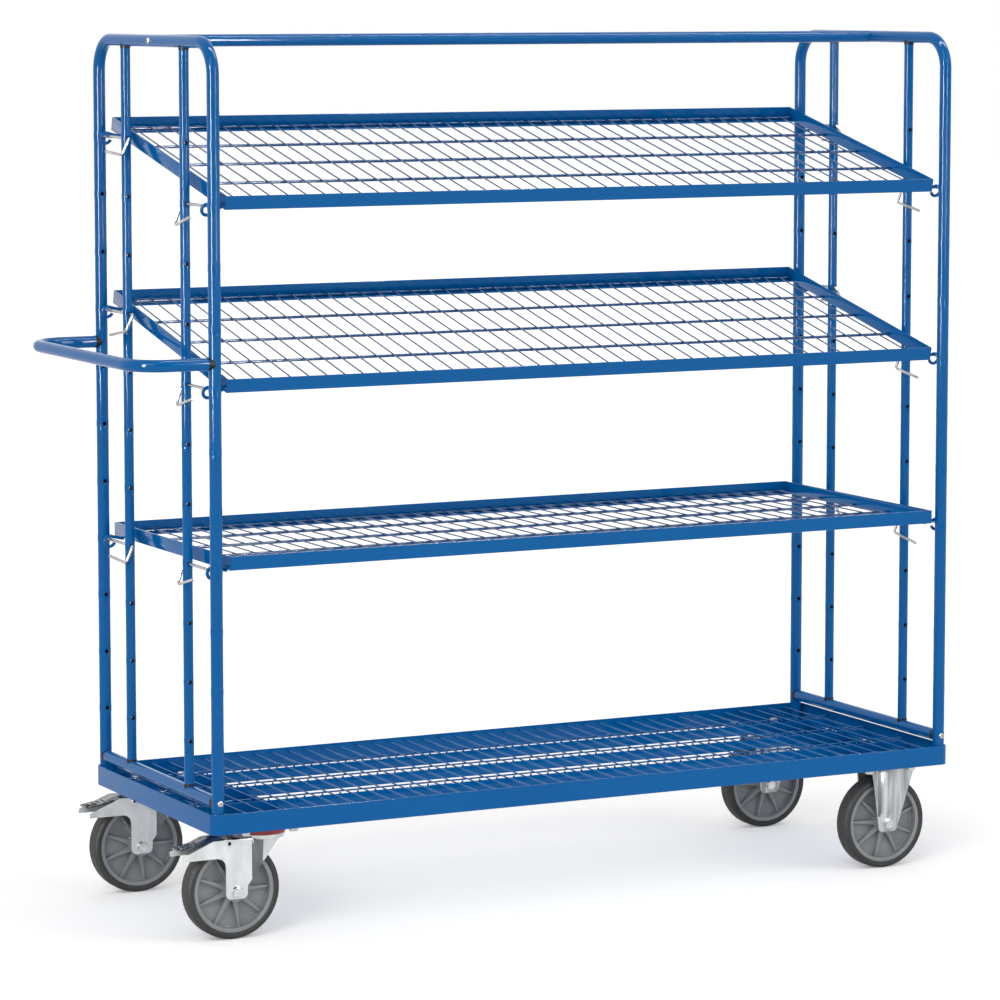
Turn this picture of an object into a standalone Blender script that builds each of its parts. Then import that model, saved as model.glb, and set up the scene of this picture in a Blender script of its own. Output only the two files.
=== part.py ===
"""Shelf trolley: a base frame on four castors, two end frames, three mesh shelves and a push handle.

Metres, +Z up. X runs along the trolley with the push handle at -X, and the shelves tilt down
towards -Y. Every piece hangs from one empty in the middle of the base frame, which stands
off the origin so that the origin is on the floor under the middle of the whole trolley.
"""

import math

import bmesh
import bpy
from mathutils import Matrix, Vector

# Whole trolley
OVERALL_HEIGHT = 1.800
CLEARANCE = 0.0003
FUSE = 0.0005
OVERRUN = 0.010
MERGE = 0.000001

# Base frame, a steel band with a narrow lip under it
RIM_LENGTH = 1.728
RIM_DEPTH = 0.631
RIM_HEIGHT = 0.0413
RIM_WALL = 0.003
RIM_LIP = 0.005
RIM_CORNER_RADIUS = 0.020
CORNER_STEPS = 4
BEARER_OFFSET = 0.159
BEARER_THICKNESS = 0.004
CHANNEL_WIDTH = 0.150
CHANNEL_HEIGHT = 0.015
CHANNEL_WALL = 0.003

# Welded mesh of the deck and the shelves
WIRE_PITCH = 0.040
WIRE_DIAMETER = 0.0032
WIRE_SIDES = 3
ROD_DIAMETER = 0.006
ROD_SIDES = 4
ROD_SPACING = 0.140
ROD_PLACES = (-1, 0, 1)
WELD_DEPTH = 0.0004
WIRE_END_MARGIN = 0.034
DECK_DROP = 0.0062
DECK_ROD_OFFSET = 0.020
SHELF_ROD_DROP = 0.021

# End frames
POST_DIAMETER = 0.025
POST_SIDES = 12
POST_END_INSET = 0.0184
POST_SIDE_INSET = 0.0164
HOOP_BEND_RADIUS = 0.065
BEND_STEPS = 4
INNER_POST_DIAMETER = 0.020
INNER_POST_SIDES = 8
INNER_POST_SPACING = 0.307
CROSS_RAIL_LIFT = 0.0078
HOLE_PITCH = 0.120
LOWEST_HOLE = 0.388
TOP_HOLE_MARGIN = 0.100
HOLE_DIAMETER = 0.007
HOLE_SIDES = 6
POST_WALL = 0.002

# Push handle
HANDLE_HEIGHT = 1.160
HANDLE_REACH = 0.1609
HANDLE_BEND_RADIUS = 0.070
SADDLE_BASE = 0.002

# Shelves and the eyes that hang them on their pins, in holes counted down from the top ones
SHELF_POST_GAP = 0.0145
SHELF_SIDE_INSET = 0.0095
SHELF_RAIL_HEIGHT = 0.028
SHELF_RAIL_LEG = 0.028
SHELF_STEEL = 0.003
SHELF_HOLES_DOWN = ((0, 1), (3, 4), (7, 7))
EYE_INSET = 0.041
EYE_DROP = 0.034
EYE_RADIUS = 0.011
EYE_WIRE_DIAMETER = 0.007
EYE_STEPS = 6
EYE_GAP_DEGREES = 50

# Locking pins, bent from wire
PIN_DIAMETER = 0.006
PIN_RESOLUTION = 1
PIN_HEAD_OFFSET = 0.0285
PIN_SEAT_DEPTH = 0.006
PIN_BEND_RADIUS = 0.007
PIN_BEND_STEPS = 2
PIN_DROP = 0.034
PIN_SIDE_STEP = 0.0155
PIN_RETURN = 0.078

# Castors
CASTOR_HEIGHT = 0.2264
CASTOR_INSET_X = 0.134
CASTOR_INSET_Y = 0.0655
CASTOR_TRAIL = 0.069
PLATE_LENGTH = 0.135
PLATE_WIDTH = 0.110
PLATE_THICKNESS = 0.004
SEAL_DIAMETER = 0.096
SEAL_HEIGHT = 0.011
HEAD_DIAMETER = 0.094
FORK_WIDTH = 0.068
FORK_STEEL = 0.003
FORK_CROWN_GAP = 0.0025
CROWN_BACK = 0.012
HEAD_FLARE = 0.003
SEAL_WALL = 0.006
TURN_STEPS = 16
SHARP_DEGREES = 40

# Swivel fork's leg, from the axle
LEG_FOOT_WIDTH = 0.047
LEG_FOOT_DROP = 0.015
LEG_FOOT_CORNER = 0.010
LEG_HEAD_REACH = 0.095
WING_REACH = 0.116
WING_SHOULDER = 0.050
WING_LOW = 0.070
WING_TIP_HIGH = 0.079
WING_CORNER = 0.018
LEG_CORNER_STEPS = 3

# Fixed fork's leg, from the axle
FIXED_FOOT_BACK = 0.023
FIXED_FOOT_FRONT = 0.020
FIXED_FOOT_DROP = 0.018
FIXED_TOP_BACK = 0.041
FIXED_TOP_FRONT = 0.066

# Brake pedal, from its pivot
PIVOT_BACK = 0.017
PIVOT_HEIGHT = 0.099
RIVET_DIAMETER = 0.006
PEDAL_LIFT = 0.0052
PEDAL_STEEL = 0.003
PEDAL_LENGTH = 0.101
PEDAL_FALL = 0.0165
PEDAL_STEP_WIDTH = 0.042
PEDAL_STEP_LENGTH = 0.060
PEDAL_EAR_RADIUS = 0.007
PEDAL_SLOT_WIDTH = 0.004
PEDAL_SLOT_LENGTH = 0.026
PEDAL_SLOT_PITCH = 0.011
PEDAL_SLOTS = 4

# Wheels
WHEEL_DIAMETER = 0.200
TYRE_WIDTH = 0.042
TYRE_DEPTH = 0.0132
TYRE_SHOULDER = 0.010
TREAD_CROWN = 0.0015
RING_WIDTH = 0.038
RING_DEPTH = 0.0085
HUB_DIAMETER = 0.044
WEB_THICKNESS = 0.006
RIB_COUNT = 9
FIXED_RIM_TURN = 1
RIB_DEPTH = 0.026
RIB_HUB_WIDTH = 0.013
RIB_RING_WIDTH = 0.005
AXLE_DIAMETER = 0.012
AXLE_SIDES = 12
AXLE_HEAD_DIAMETER = 0.0215
AXLE_HEAD_HEIGHT = 0.0075

# Colours
BLUE = ((0.010, 0.105, 0.345), 0.30, 0.0)
ZINC = ((0.55, 0.56, 0.57), 0.32, 0.9)
DARK_STEEL = ((0.10, 0.10, 0.10), 0.40, 0.8)
BLACK_PLASTIC = ((0.012, 0.012, 0.012), 0.50, 0.0)
RED_PLASTIC = ((0.35, 0.012, 0.004), 0.45, 0.0)
GREY_PLASTIC = ((0.19, 0.20, 0.21), 0.45, 0.0)
GREY_RUBBER = ((0.065, 0.065, 0.065), 0.75, 0.0)

# Places that follow from the sizes
rim_bottom = CASTOR_HEIGHT - RIM_WALL
rim_top = rim_bottom + RIM_HEIGHT
channel_bottom = CASTOR_HEIGHT + CLEARANCE
channel_floor = channel_bottom + CHANNEL_WALL
castor_x = RIM_LENGTH / 2 - CASTOR_INSET_X
castor_y = RIM_DEPTH / 2 - CASTOR_INSET_Y
post_x = RIM_LENGTH / 2 - POST_END_INSET
post_y = RIM_DEPTH / 2 - POST_SIDE_INSET
inner_post_y = INNER_POST_SPACING / 2
holes_above_lowest = (OVERALL_HEIGHT - TOP_HOLE_MARGIN - LOWEST_HOLE) // HOLE_PITCH
shelf_length = 2 * (post_x - POST_DIAMETER / 2 - SHELF_POST_GAP)
shelf_depth = RIM_DEPTH - 2 * SHELF_SIDE_INSET
eye_spacing = shelf_depth - 2 * EYE_INSET
top_bar_z = OVERALL_HEIGHT - POST_DIAMETER / 2
cross_rail_z = rim_top + CROSS_RAIL_LIFT + POST_DIAMETER / 2
grip_x = post_x + HANDLE_REACH
base_x = (grip_x + POST_DIAMETER / 2 - RIM_LENGTH / 2) / 2
wheel_radius = WHEEL_DIAMETER / 2
plate_bottom = CASTOR_HEIGHT - PLATE_THICKNESS
crown_top = WHEEL_DIAMETER + FORK_CROWN_GAP + FORK_STEEL
seal_bottom = plate_bottom - CLEARANCE - SEAL_HEIGHT
leg_inside = FORK_WIDTH / 2 - FORK_STEEL

# Turns that lay a flat outline of (x, y) points in another plane
STANDING = Matrix.Rotation(math.pi / 2, 4, "X")
ACROSS = Matrix(((0, 0, 1), (1, 0, 0), (0, 1, 0))).to_4x4()


def clear_scene():
    """Remove whatever the scene starts with."""
    for obj in list(bpy.data.objects):
        bpy.data.objects.remove(obj)


def collection(name):
    """A new collection in the scene."""
    made = bpy.data.collections.new(name)
    bpy.context.scene.collection.children.link(made)
    return made


clear_scene()
PARTS = collection("shelf_trolley")
CUTTERS = collection("cutters")


def paint(name, look):
    """A plain material from a colour, a roughness and a metallic value."""
    colour, roughness, metallic = look
    made = bpy.data.materials.new(name)
    made.use_nodes = True
    shader = made.node_tree.nodes["Principled BSDF"]
    shader.inputs["Base Color"].default_value = (*colour, 1)
    shader.inputs["Roughness"].default_value = roughness
    shader.inputs["Metallic"].default_value = metallic
    made.diffuse_color = (*colour, 1)
    return made


def empty(name, place, parent=None):
    """An empty that carries pieces."""
    made = bpy.data.objects.new(name, None)
    PARTS.objects.link(made)
    made.location = place
    made.parent = parent
    return made


BASE = empty("trolley", (base_x, 0, 0))


def piece(name, mesh, look, matrix=Matrix(), parent=BASE):
    """One named piece of the trolley, placed under its parent."""
    made = bpy.data.objects.new(name, mesh.copy())
    made.data.name = name
    made.data.materials.clear()
    made.data.materials.append(paint(name, look))
    made.data.shade_smooth()
    made.data.set_sharp_from_angle(angle=math.radians(SHARP_DEGREES))
    PARTS.objects.link(made)
    made.parent = parent
    made.matrix_local = matrix
    return made


def evaluated(obj):
    """The mesh of an object with its modifiers, and the object removed."""
    bpy.context.view_layer.update()
    graph = bpy.context.evaluated_depsgraph_get()
    mesh = bpy.data.meshes.new_from_object(obj.evaluated_get(graph))
    bpy.data.objects.remove(obj)
    return mesh


def helper(data):
    """A hidden object that a shape is made from, or that cuts one."""
    made = bpy.data.objects.new("helper", data)
    made.hide_render = True
    made.display_type = "WIRE"
    CUTTERS.objects.link(made)
    return made


def tidied(mesh):
    """The mesh with doubled points made one and its faces turned outwards."""
    shape = bmesh.new()
    shape.from_mesh(mesh)
    bmesh.ops.remove_doubles(shape, verts=shape.verts, dist=MERGE)
    bmesh.ops.recalc_face_normals(shape, faces=shape.faces)
    shape.to_mesh(mesh)
    shape.free()
    return mesh


def moved(mesh, matrix):
    """A copy of the mesh, moved."""
    made = mesh.copy()
    made.transform(matrix)
    return made


def together(meshes):
    """Several shapes that don't touch, as one mesh."""
    shape = bmesh.new()
    for mesh in meshes:
        shape.from_mesh(mesh)
    made = bpy.data.meshes.new("group")
    shape.to_mesh(made)
    shape.free()
    return made


def combined(operation, mesh, *others):
    """The mesh joined with, cut by or limited to each of the others in turn."""
    body = helper(mesh)
    tools = [helper(other) for other in others]
    for tool in tools:
        modifier = body.modifiers.new("combine", "BOOLEAN")
        modifier.operation = operation
        modifier.object = tool
    made = evaluated(body)
    for tool in tools:
        bpy.data.objects.remove(tool)
    return made


def box(low, high):
    """A box between two corners."""
    low, high = Vector(low), Vector(high)
    size = Matrix.Diagonal((*(high - low), 1))
    shape = bmesh.new()
    bmesh.ops.create_cube(shape, size=1, matrix=Matrix.Translation((low + high) / 2) @ size)
    made = bpy.data.meshes.new("box")
    shape.to_mesh(made)
    shape.free()
    return made


def bar(start, end, diameter, sides, turn_share=0.5):
    """A straight bar. Its flats face the axes, or its ridges at a turn of 0 or 1 side."""
    start, end = Vector(start), Vector(end)
    along = end - start
    aim = along.to_track_quat("Z", "Y").to_matrix().to_4x4()
    turn = Matrix.Rotation(turn_share * 2 * math.pi / sides, 4, "Z")
    shape = bmesh.new()
    bmesh.ops.create_cone(
        shape,
        cap_ends=True,
        segments=sides,
        radius1=diameter / 2,
        radius2=diameter / 2,
        depth=along.length,
        matrix=Matrix.Translation((start + end) / 2) @ aim @ turn,
    )
    made = bpy.data.meshes.new("bar")
    shape.to_mesh(made)
    shape.free()
    return made


def prism(outlines, thickness):
    """Flat outlines, the inner ones being holes, as a plate centred on the XY plane."""
    curve = bpy.data.curves.new("outline", "CURVE")
    curve.dimensions = "2D"
    curve.fill_mode = "BOTH"
    curve.extrude = thickness / 2
    for outline in outlines:
        spline = curve.splines.new("POLY")
        spline.points.add(len(outline) - 1)
        for point, (x, y) in zip(spline.points, outline):
            point.co = (x, y, 0, 1)
        spline.use_cyclic_u = True
    return tidied(evaluated(helper(curve)))


def tube(points, diameter, resolution, tilt=0):
    """A round bar along a path."""
    curve = bpy.data.curves.new("path", "CURVE")
    curve.dimensions = "3D"
    curve.bevel_depth = diameter / 2
    curve.bevel_resolution = resolution
    curve.use_fill_caps = True
    spline = curve.splines.new("POLY")
    spline.points.add(len(points) - 1)
    for point, place in zip(spline.points, points):
        point.co = (*place, 1)
        point.tilt = tilt
    return tidied(evaluated(helper(curve)))


def turned(profile, steps):
    """A closed profile of (radius, height) points turned about Z."""
    mesh = bpy.data.meshes.new("profile")
    count = len(profile)
    edges = [(index, (index + 1) % count) for index in range(count)]
    mesh.from_pydata([(radius, 0, height) for radius, height in profile], edges, [])
    obj = helper(mesh)
    screw = obj.modifiers.new("turn", "SCREW")
    screw.axis = "Z"
    screw.steps = steps
    screw.render_steps = steps
    screw.use_merge_vertices = True
    screw.merge_threshold = MERGE
    return tidied(evaluated(obj))


def rounded_path(corners, radius, steps):
    """A path of straight runs with a round bend at each corner between its ends."""
    corners = [Vector(corner) for corner in corners]
    points = [corners[0]]
    for before, corner, after in zip(corners, corners[1:], corners[2:]):
        back = (before - corner).normalized()
        ahead = (after - corner).normalized()
        half = back.angle(ahead) / 2
        centre = corner + (back + ahead).normalized() * radius / math.sin(half)
        start = corner + back * radius / math.tan(half) - centre
        axis = ahead.cross(back).normalized()
        for step in range(steps + 1):
            turn = Matrix.Rotation((math.pi - 2 * half) * step / steps, 3, axis)
            points.append(centre + turn @ start)
    points.append(corners[-1])
    return points


def rounded_outline(corners, steps):
    """A closed outline of (x, y, radius) corners, a corner with no radius staying sharp."""
    points = []
    for index, (x, y, radius) in enumerate(corners):
        before = corners[index - 1][:2]
        after = corners[(index + 1) % len(corners)][:2]
        run = [(*before, 0), (x, y, 0), (*after, 0)]
        made = rounded_path(run, radius, steps)[1:-1] if radius else [Vector(run[1])]
        points.extend((point.x, point.y) for point in made)
    return points


def rectangle(length, depth, radius, steps):
    """An outline of a rectangle with round corners."""
    x, y = length / 2, depth / 2
    corners = [(-x, -y, radius), (x, -y, radius), (x, y, radius), (-x, y, radius)]
    return rounded_outline(corners, steps)


def circle(x, y, diameter, sides):
    """An outline of a round hole."""
    angles = [2 * math.pi * (index + 1 / 2) / sides for index in range(sides)]
    return [(x + diameter / 2 * math.cos(a), y + diameter / 2 * math.sin(a)) for a in angles]


# Base frame

def make_base_rim():
    """The band round the deck, open but for the lip under its inner edge."""
    def block(inset, low, high):
        radius = RIM_CORNER_RADIUS - inset
        outline = rectangle(RIM_LENGTH - 2 * inset, RIM_DEPTH - 2 * inset, radius, CORNER_STEPS)
        return moved(prism([outline], high - low), Matrix.Translation((0, 0, (low + high) / 2)))

    band = block(0, rim_bottom, rim_top)
    inside = block(RIM_WALL, rim_bottom + RIM_WALL, rim_top + OVERRUN)
    mouth = block(RIM_WALL + RIM_LIP, rim_bottom - OVERRUN, rim_top)
    piece("base_rim", combined("DIFFERENCE", band, inside, mouth), BLUE)


def bearer_box(y, gap, low, high):
    """The space of one deck bearer, or of the notch that it lies in."""
    x = RIM_LENGTH / 2 - RIM_WALL - CLEARANCE
    half = BEARER_THICKNESS / 2 + gap
    return box((-x, y - half, low), (x, y + half, high))


def make_castor_channels():
    """Two shallow channels across the rim, notched for the bearers, that carry the castors."""
    half, inside = CHANNEL_WIDTH / 2, CHANNEL_WIDTH / 2 - CHANNEL_WALL
    low, floor, high = channel_bottom, channel_floor, channel_bottom + CHANNEL_HEIGHT
    outline = [
        (-half, low), (half, low), (half, high), (inside, high),
        (inside, floor), (-inside, floor), (-inside, high), (-half, high),
    ]
    length = RIM_DEPTH - 2 * (RIM_WALL + CLEARANCE)
    channel = moved(prism([outline], length), STANDING)
    notch_low = channel_floor + CLEARANCE / 2
    notches = [
        bearer_box(place * BEARER_OFFSET, CLEARANCE, notch_low, high + OVERRUN)
        for place in ROD_PLACES
    ]
    channel = combined("DIFFERENCE", channel, together(notches))
    for side, x in (("left", -castor_x), ("right", castor_x)):
        piece(f"castor_channel_{side}", channel, BLUE, Matrix.Translation((x, 0, 0)))


def wire_z(rod_z):
    """The height of the wires that are welded on top of rods."""
    return rod_z + ROD_DIAMETER / 2 + WIRE_DIAMETER / 2 - WELD_DEPTH


def mesh_panel(length, depth, rod_z, rod_rows):
    """Thin wires across a few stronger rods, welded where they cross."""
    x, y = length / 2, depth / 2
    rods = [bar((-x, row, rod_z), (x, row, rod_z), ROD_DIAMETER, ROD_SIDES, 0) for row in rod_rows]
    strands = []
    pitches = int((length - 2 * WIRE_END_MARGIN) / WIRE_PITCH)
    for index in range(pitches + 1):
        wire_x = (index - pitches / 2) * WIRE_PITCH
        ends = [(wire_x, side, wire_z(rod_z)) for side in (-y, y)]
        strands.append(bar(*ends, WIRE_DIAMETER, WIRE_SIDES))
    return combined("UNION", together(rods), together(strands))


def make_deck():
    """The bearers and the mesh that lies on them inside the rim."""
    rod_z = rim_top - DECK_DROP - WIRE_DIAMETER - ROD_DIAMETER / 2 + WELD_DEPTH
    bearer_top = wire_z(rod_z) - WIRE_DIAMETER / 2 - CLEARANCE
    for number, place in enumerate(ROD_PLACES, 1):
        shape = bearer_box(place * BEARER_OFFSET, 0, channel_floor + CLEARANCE, bearer_top)
        piece(f"deck_bearer_{number}", shape, BLUE)
    inset = 2 * (RIM_WALL + CLEARANCE)
    rows = [place * BEARER_OFFSET + DECK_ROD_OFFSET for place in ROD_PLACES]
    panel = mesh_panel(RIM_LENGTH - inset, RIM_DEPTH - inset, rod_z, rows)
    piece("deck_grid", panel, BLUE)


# End frames

def hole_z(number):
    """The height of a row of holes, counted from the lowest."""
    return LOWEST_HOLE + number * HOLE_PITCH


def shelf_hole_z(down):
    """The height of a row of holes, counted down from the highest."""
    return hole_z(holes_above_lowest - down)


def hole_bars(low_y, high_y):
    """The drills for one column of holes along Y."""
    drills = []
    for number in range(int(holes_above_lowest) + 1):
        z = hole_z(number)
        drills.append(bar((0, low_y, z), (0, high_y, z), HOLE_DIAMETER, HOLE_SIDES, 0))
    return together(drills)


def round_cutter(start, end, diameter, sides):
    """A bar that leaves the usual gap round a tube of this diameter."""
    return bar(start, end, diameter + 2 * CLEARANCE / math.cos(math.pi / sides), sides)


def make_end_hoops():
    """The outer posts and the top bar of each end, bent from one tube, with holes facing in."""
    foot = rim_bottom + RIM_WALL + CLEARANCE
    corners = [(0, post_y, foot), (0, post_y, top_bar_z), (0, -post_y, top_bar_z), (0, -post_y, foot)]
    path = rounded_path(corners, HOOP_BEND_RADIUS, BEND_STEPS)
    hoop = tube(path, POST_DIAMETER, (POST_SIDES - 4) // 2, math.pi / POST_SIDES)
    depth = POST_DIAMETER / 2 - PIN_SEAT_DEPTH - POST_WALL
    inner = post_y - POST_DIAMETER / 2 - OVERRUN
    drills = [hole_bars(inner, post_y - depth / 2), hole_bars(-post_y + depth / 2, -inner)]
    hoop = combined("DIFFERENCE", hoop, together(drills))
    for side, x in (("left", -post_x), ("right", post_x)):
        piece(f"end_hoop_{side}", hoop, BLUE, Matrix.Translation((x, 0, 0)))


def make_inner_posts():
    """The drilled posts between the cross rail and the top bar, their ends shaped to the tubes."""
    post = bar((0, 0, cross_rail_z), (0, 0, top_bar_z), INNER_POST_DIAMETER, INNER_POST_SIDES)
    drills = hole_bars(-INNER_POST_DIAMETER, INNER_POST_DIAMETER)
    tubes = [
        round_cutter((0, -POST_DIAMETER, z), (0, POST_DIAMETER, z), POST_DIAMETER, POST_SIDES)
        for z in (cross_rail_z, top_bar_z)
    ]
    post = combined("DIFFERENCE", post, drills, together(tubes))
    for side, x in (("left", -post_x), ("right", post_x)):
        for row, y in (("front", -inner_post_y), ("rear", inner_post_y)):
            name = f"inner_post_{side}_{row}"
            piece(name, post, BLUE, Matrix.Translation((x, y, 0)))


def make_cross_rails():
    """The rail between the outer posts just above the deck, at each end."""
    rail = bar((0, -post_y, cross_rail_z), (0, post_y, cross_rail_z), POST_DIAMETER, POST_SIDES)
    low, high = cross_rail_z - POST_DIAMETER, cross_rail_z + POST_DIAMETER
    posts = [
        round_cutter((0, y, low), (0, y, high), POST_DIAMETER, POST_SIDES)
        for y in (-post_y, post_y)
    ]
    rail = combined("DIFFERENCE", rail, together(posts))
    rail = combined("INTERSECT", rail, box((-POST_DIAMETER, -post_y, low), (POST_DIAMETER, post_y, high)))
    for side, x in (("left", -post_x), ("right", post_x)):
        piece(f"cross_rail_{side}", rail, BLUE, Matrix.Translation((x, 0, 0)))


def make_top_rail():
    """The rail along the top that ties the two end hoops."""
    rail = bar((-post_x, 0, top_bar_z), (post_x, 0, top_bar_z), POST_DIAMETER, POST_SIDES)
    bars = [
        round_cutter(
            (x, -POST_DIAMETER, top_bar_z), (x, POST_DIAMETER, top_bar_z), POST_DIAMETER, POST_SIDES
        )
        for x in (-post_x, post_x)
    ]
    piece("top_rail", combined("DIFFERENCE", rail, together(bars)), BLUE)


# Push handle

def make_handle():
    """The bent handle and the two black saddles that seat its ends on the posts."""
    end_x = -post_x - POST_DIAMETER / 2 - SADDLE_BASE
    corners = [
        (end_x, -post_y, HANDLE_HEIGHT), (-grip_x, -post_y, HANDLE_HEIGHT),
        (-grip_x, post_y, HANDLE_HEIGHT), (end_x, post_y, HANDLE_HEIGHT),
    ]
    path = rounded_path(corners, HANDLE_BEND_RADIUS, BEND_STEPS)
    tilt = math.pi / POST_SIDES
    piece("push_handle", tube(path, POST_DIAMETER, (POST_SIDES - 4) // 2, tilt), BLUE)
    low, high = HANDLE_HEIGHT - POST_DIAMETER, HANDLE_HEIGHT + POST_DIAMETER
    saddle = bar(
        (end_x + CLEARANCE, 0, HANDLE_HEIGHT), (-post_x - POST_DIAMETER / 4, 0, HANDLE_HEIGHT),
        POST_DIAMETER, POST_SIDES,
    )
    post = round_cutter((-post_x, 0, low), (-post_x, 0, high), POST_DIAMETER, POST_SIDES)
    saddle = combined("DIFFERENCE", saddle, post)
    for row, y in (("front", -post_y), ("rear", post_y)):
        piece(f"handle_saddle_{row}", saddle, BLACK_PLASTIC, Matrix.Translation((0, y, 0)))


# Shelves, each modelled from the middle of its rear eyes

def shelf_rail(edge, side):
    """An angle along one long edge: flange outside, leg turned in at the bottom."""
    low = EYE_DROP - SHELF_RAIL_HEIGHT
    inner, leg = edge - side * SHELF_STEEL, edge - side * SHELF_RAIL_LEG
    outline = [
        (edge, EYE_DROP), (edge, low), (leg, low),
        (leg, low + SHELF_STEEL), (inner, low + SHELF_STEEL), (inner, EYE_DROP),
    ]
    return moved(prism([outline], shelf_length - SHELF_STEEL), ACROSS)


def shelf_eye(side, y):
    """A wire eye beside the post, its upper end run under the shelf's end bar and welded."""
    gap = math.radians(EYE_GAP_DEGREES)
    sweep = 3 * math.pi / 2 - gap
    path = []
    for step in range(EYE_STEPS + 1):
        angle = -gap - sweep * step / EYE_STEPS
        path.append((post_x + EYE_RADIUS * -math.cos(angle), y, EYE_RADIUS * math.sin(angle)))
    weld_x = shelf_length / 2 - SHELF_STEEL / 2
    weld_z = EYE_DROP - SHELF_RAIL_HEIGHT - EYE_WIRE_DIAMETER / 2 + SHELF_STEEL / 2
    path.append((weld_x, y, weld_z))
    path = [(side * x, y, z) for x, y, z in path]
    return tube(path, EYE_WIRE_DIAMETER, 1)


def shelf_frame():
    """Two angles and two flat end bars welded into a tray, with an eye near each corner."""
    middle, half = -eye_spacing / 2, shelf_depth / 2
    rails = [shelf_rail(middle + half, 1), shelf_rail(middle - half, -1)]
    end, low = shelf_length / 2, EYE_DROP - SHELF_RAIL_HEIGHT
    ends = [
        box((-end, middle - half, low), (-end + SHELF_STEEL, middle + half, EYE_DROP)),
        box((end - SHELF_STEEL, middle - half, low), (end, middle + half, EYE_DROP)),
    ]
    eyes = [shelf_eye(side, y) for side in (-1, 1) for y in (-eye_spacing, 0)]
    return combined("UNION", together(ends), together(rails), together(eyes))


def shelf_panel():
    """The shelf's mesh, its rods between the end bars."""
    inset = 2 * (SHELF_STEEL + CLEARANCE)
    rod_z = EYE_DROP - SHELF_ROD_DROP
    rows = [place * ROD_SPACING for place in ROD_PLACES]
    panel = mesh_panel(shelf_length - inset, shelf_depth - inset, rod_z, rows)
    return moved(panel, Matrix.Translation((0, -eye_spacing / 2, 0)))


def make_shelves():
    """Three shelves, each hung by its eyes on four pins, on a pivot at its rear pins."""
    frame, panel = shelf_frame(), shelf_panel()
    for number, (rear, front) in enumerate(SHELF_HOLES_DOWN, 1):
        rear_z = shelf_hole_z(rear)
        tilt = math.asin((rear_z - shelf_hole_z(front)) / eye_spacing)
        sag = EYE_RADIUS * math.cos(tilt) - (EYE_WIRE_DIAMETER + PIN_DIAMETER) / 2 - CLEARANCE
        pivot = empty(f"shelf_{number}_pivot", (0, eye_spacing / 2, rear_z), BASE)
        place = Matrix.Translation((0, 0, -sag)) @ Matrix.Rotation(tilt, 4, "X")
        piece(f"shelf_{number}_frame", frame, BLUE, place, pivot)
        piece(f"shelf_{number}_grid", panel, BLUE, place, pivot)


def make_pins():
    """Twelve bent wire pins, each through an inner post and an eye into the outer post."""
    head = inner_post_y - PIN_HEAD_OFFSET
    tip = post_y - POST_DIAMETER / 2 + PIN_SEAT_DEPTH
    for number, holes in enumerate(SHELF_HOLES_DOWN, 1):
        for side, out in (("left", -1), ("right", 1)):
            for row, towards, hole in (("rear", 1, holes[0]), ("front", -1, holes[1])):
                corners = [
                    (0, 0, 0),
                    (0, -towards * (tip - head), 0),
                    (out * PIN_SIDE_STEP, -towards * (tip - head), -PIN_DROP),
                    (out * PIN_SIDE_STEP, -towards * (tip - head - PIN_RETURN), -PIN_DROP),
                ]
                path = rounded_path(corners, PIN_BEND_RADIUS, PIN_BEND_STEPS)
                place = Matrix.Translation((out * post_x, towards * tip, shelf_hole_z(hole)))
                name = f"pin_{number}_{side}_{row}"
                piece(name, tube(path, PIN_DIAMETER, PIN_RESOLUTION), ZINC, place)


# Castors, each modelled from its axle

def leg_plates(outline, axle_hole, *holes):
    """The two legs of a fork from one side outline."""
    plate = moved(prism([outline, axle_hole, *holes], FORK_STEEL), STANDING)
    y = (FORK_WIDTH - FORK_STEEL) / 2
    return together([moved(plate, Matrix.Translation((0, side * y, 0))) for side in (-1, 1)])


def axle_hole():
    """The hole for the axle bolt."""
    return circle(0, 0, AXLE_DIAMETER + 2 * CLEARANCE / math.cos(math.pi / AXLE_SIDES), AXLE_SIDES)


def swivel_fork():
    """Two legs with wings for the brake, a crown between them and the turning head."""
    top = crown_top - wheel_radius
    foot = LEG_FOOT_WIDTH / 2
    outline = rounded_outline(
        [
            (-foot, -LEG_FOOT_DROP, LEG_FOOT_CORNER),
            (foot, -LEG_FOOT_DROP, LEG_FOOT_CORNER),
            (foot, LEG_FOOT_CORNER, 0),
            (LEG_HEAD_REACH, top, 0),
            (-WING_SHOULDER, top, 0),
            (-WING_REACH, WING_TIP_HIGH, 0),
            (-WING_REACH, WING_LOW, 0),
            (-foot, WING_LOW, WING_CORNER),
        ],
        LEG_CORNER_STEPS,
    )
    rivet = circle(-PIVOT_BACK, PIVOT_HEIGHT, RIVET_DIAMETER, HOLE_SIDES)
    legs = leg_plates(outline, axle_hole(), rivet)
    half = leg_inside + FORK_STEEL / 2
    crown = box((CROWN_BACK, -half, top - FORK_STEEL), (CASTOR_TRAIL, half, top - FUSE))
    radius = HEAD_DIAMETER / 2
    race_top = seal_bottom - CLEARANCE - wheel_radius
    head = turned(
        [
            (0, race_top), (radius, race_top), (radius, top + FUSE),
            (radius - HEAD_FLARE, top - FORK_STEEL - FUSE), (0, top - FORK_STEEL - FUSE),
        ],
        TURN_STEPS,
    )
    head = moved(head, Matrix.Translation((CASTOR_TRAIL, 0, 0)))
    return combined("UNION", legs, crown, head)


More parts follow.
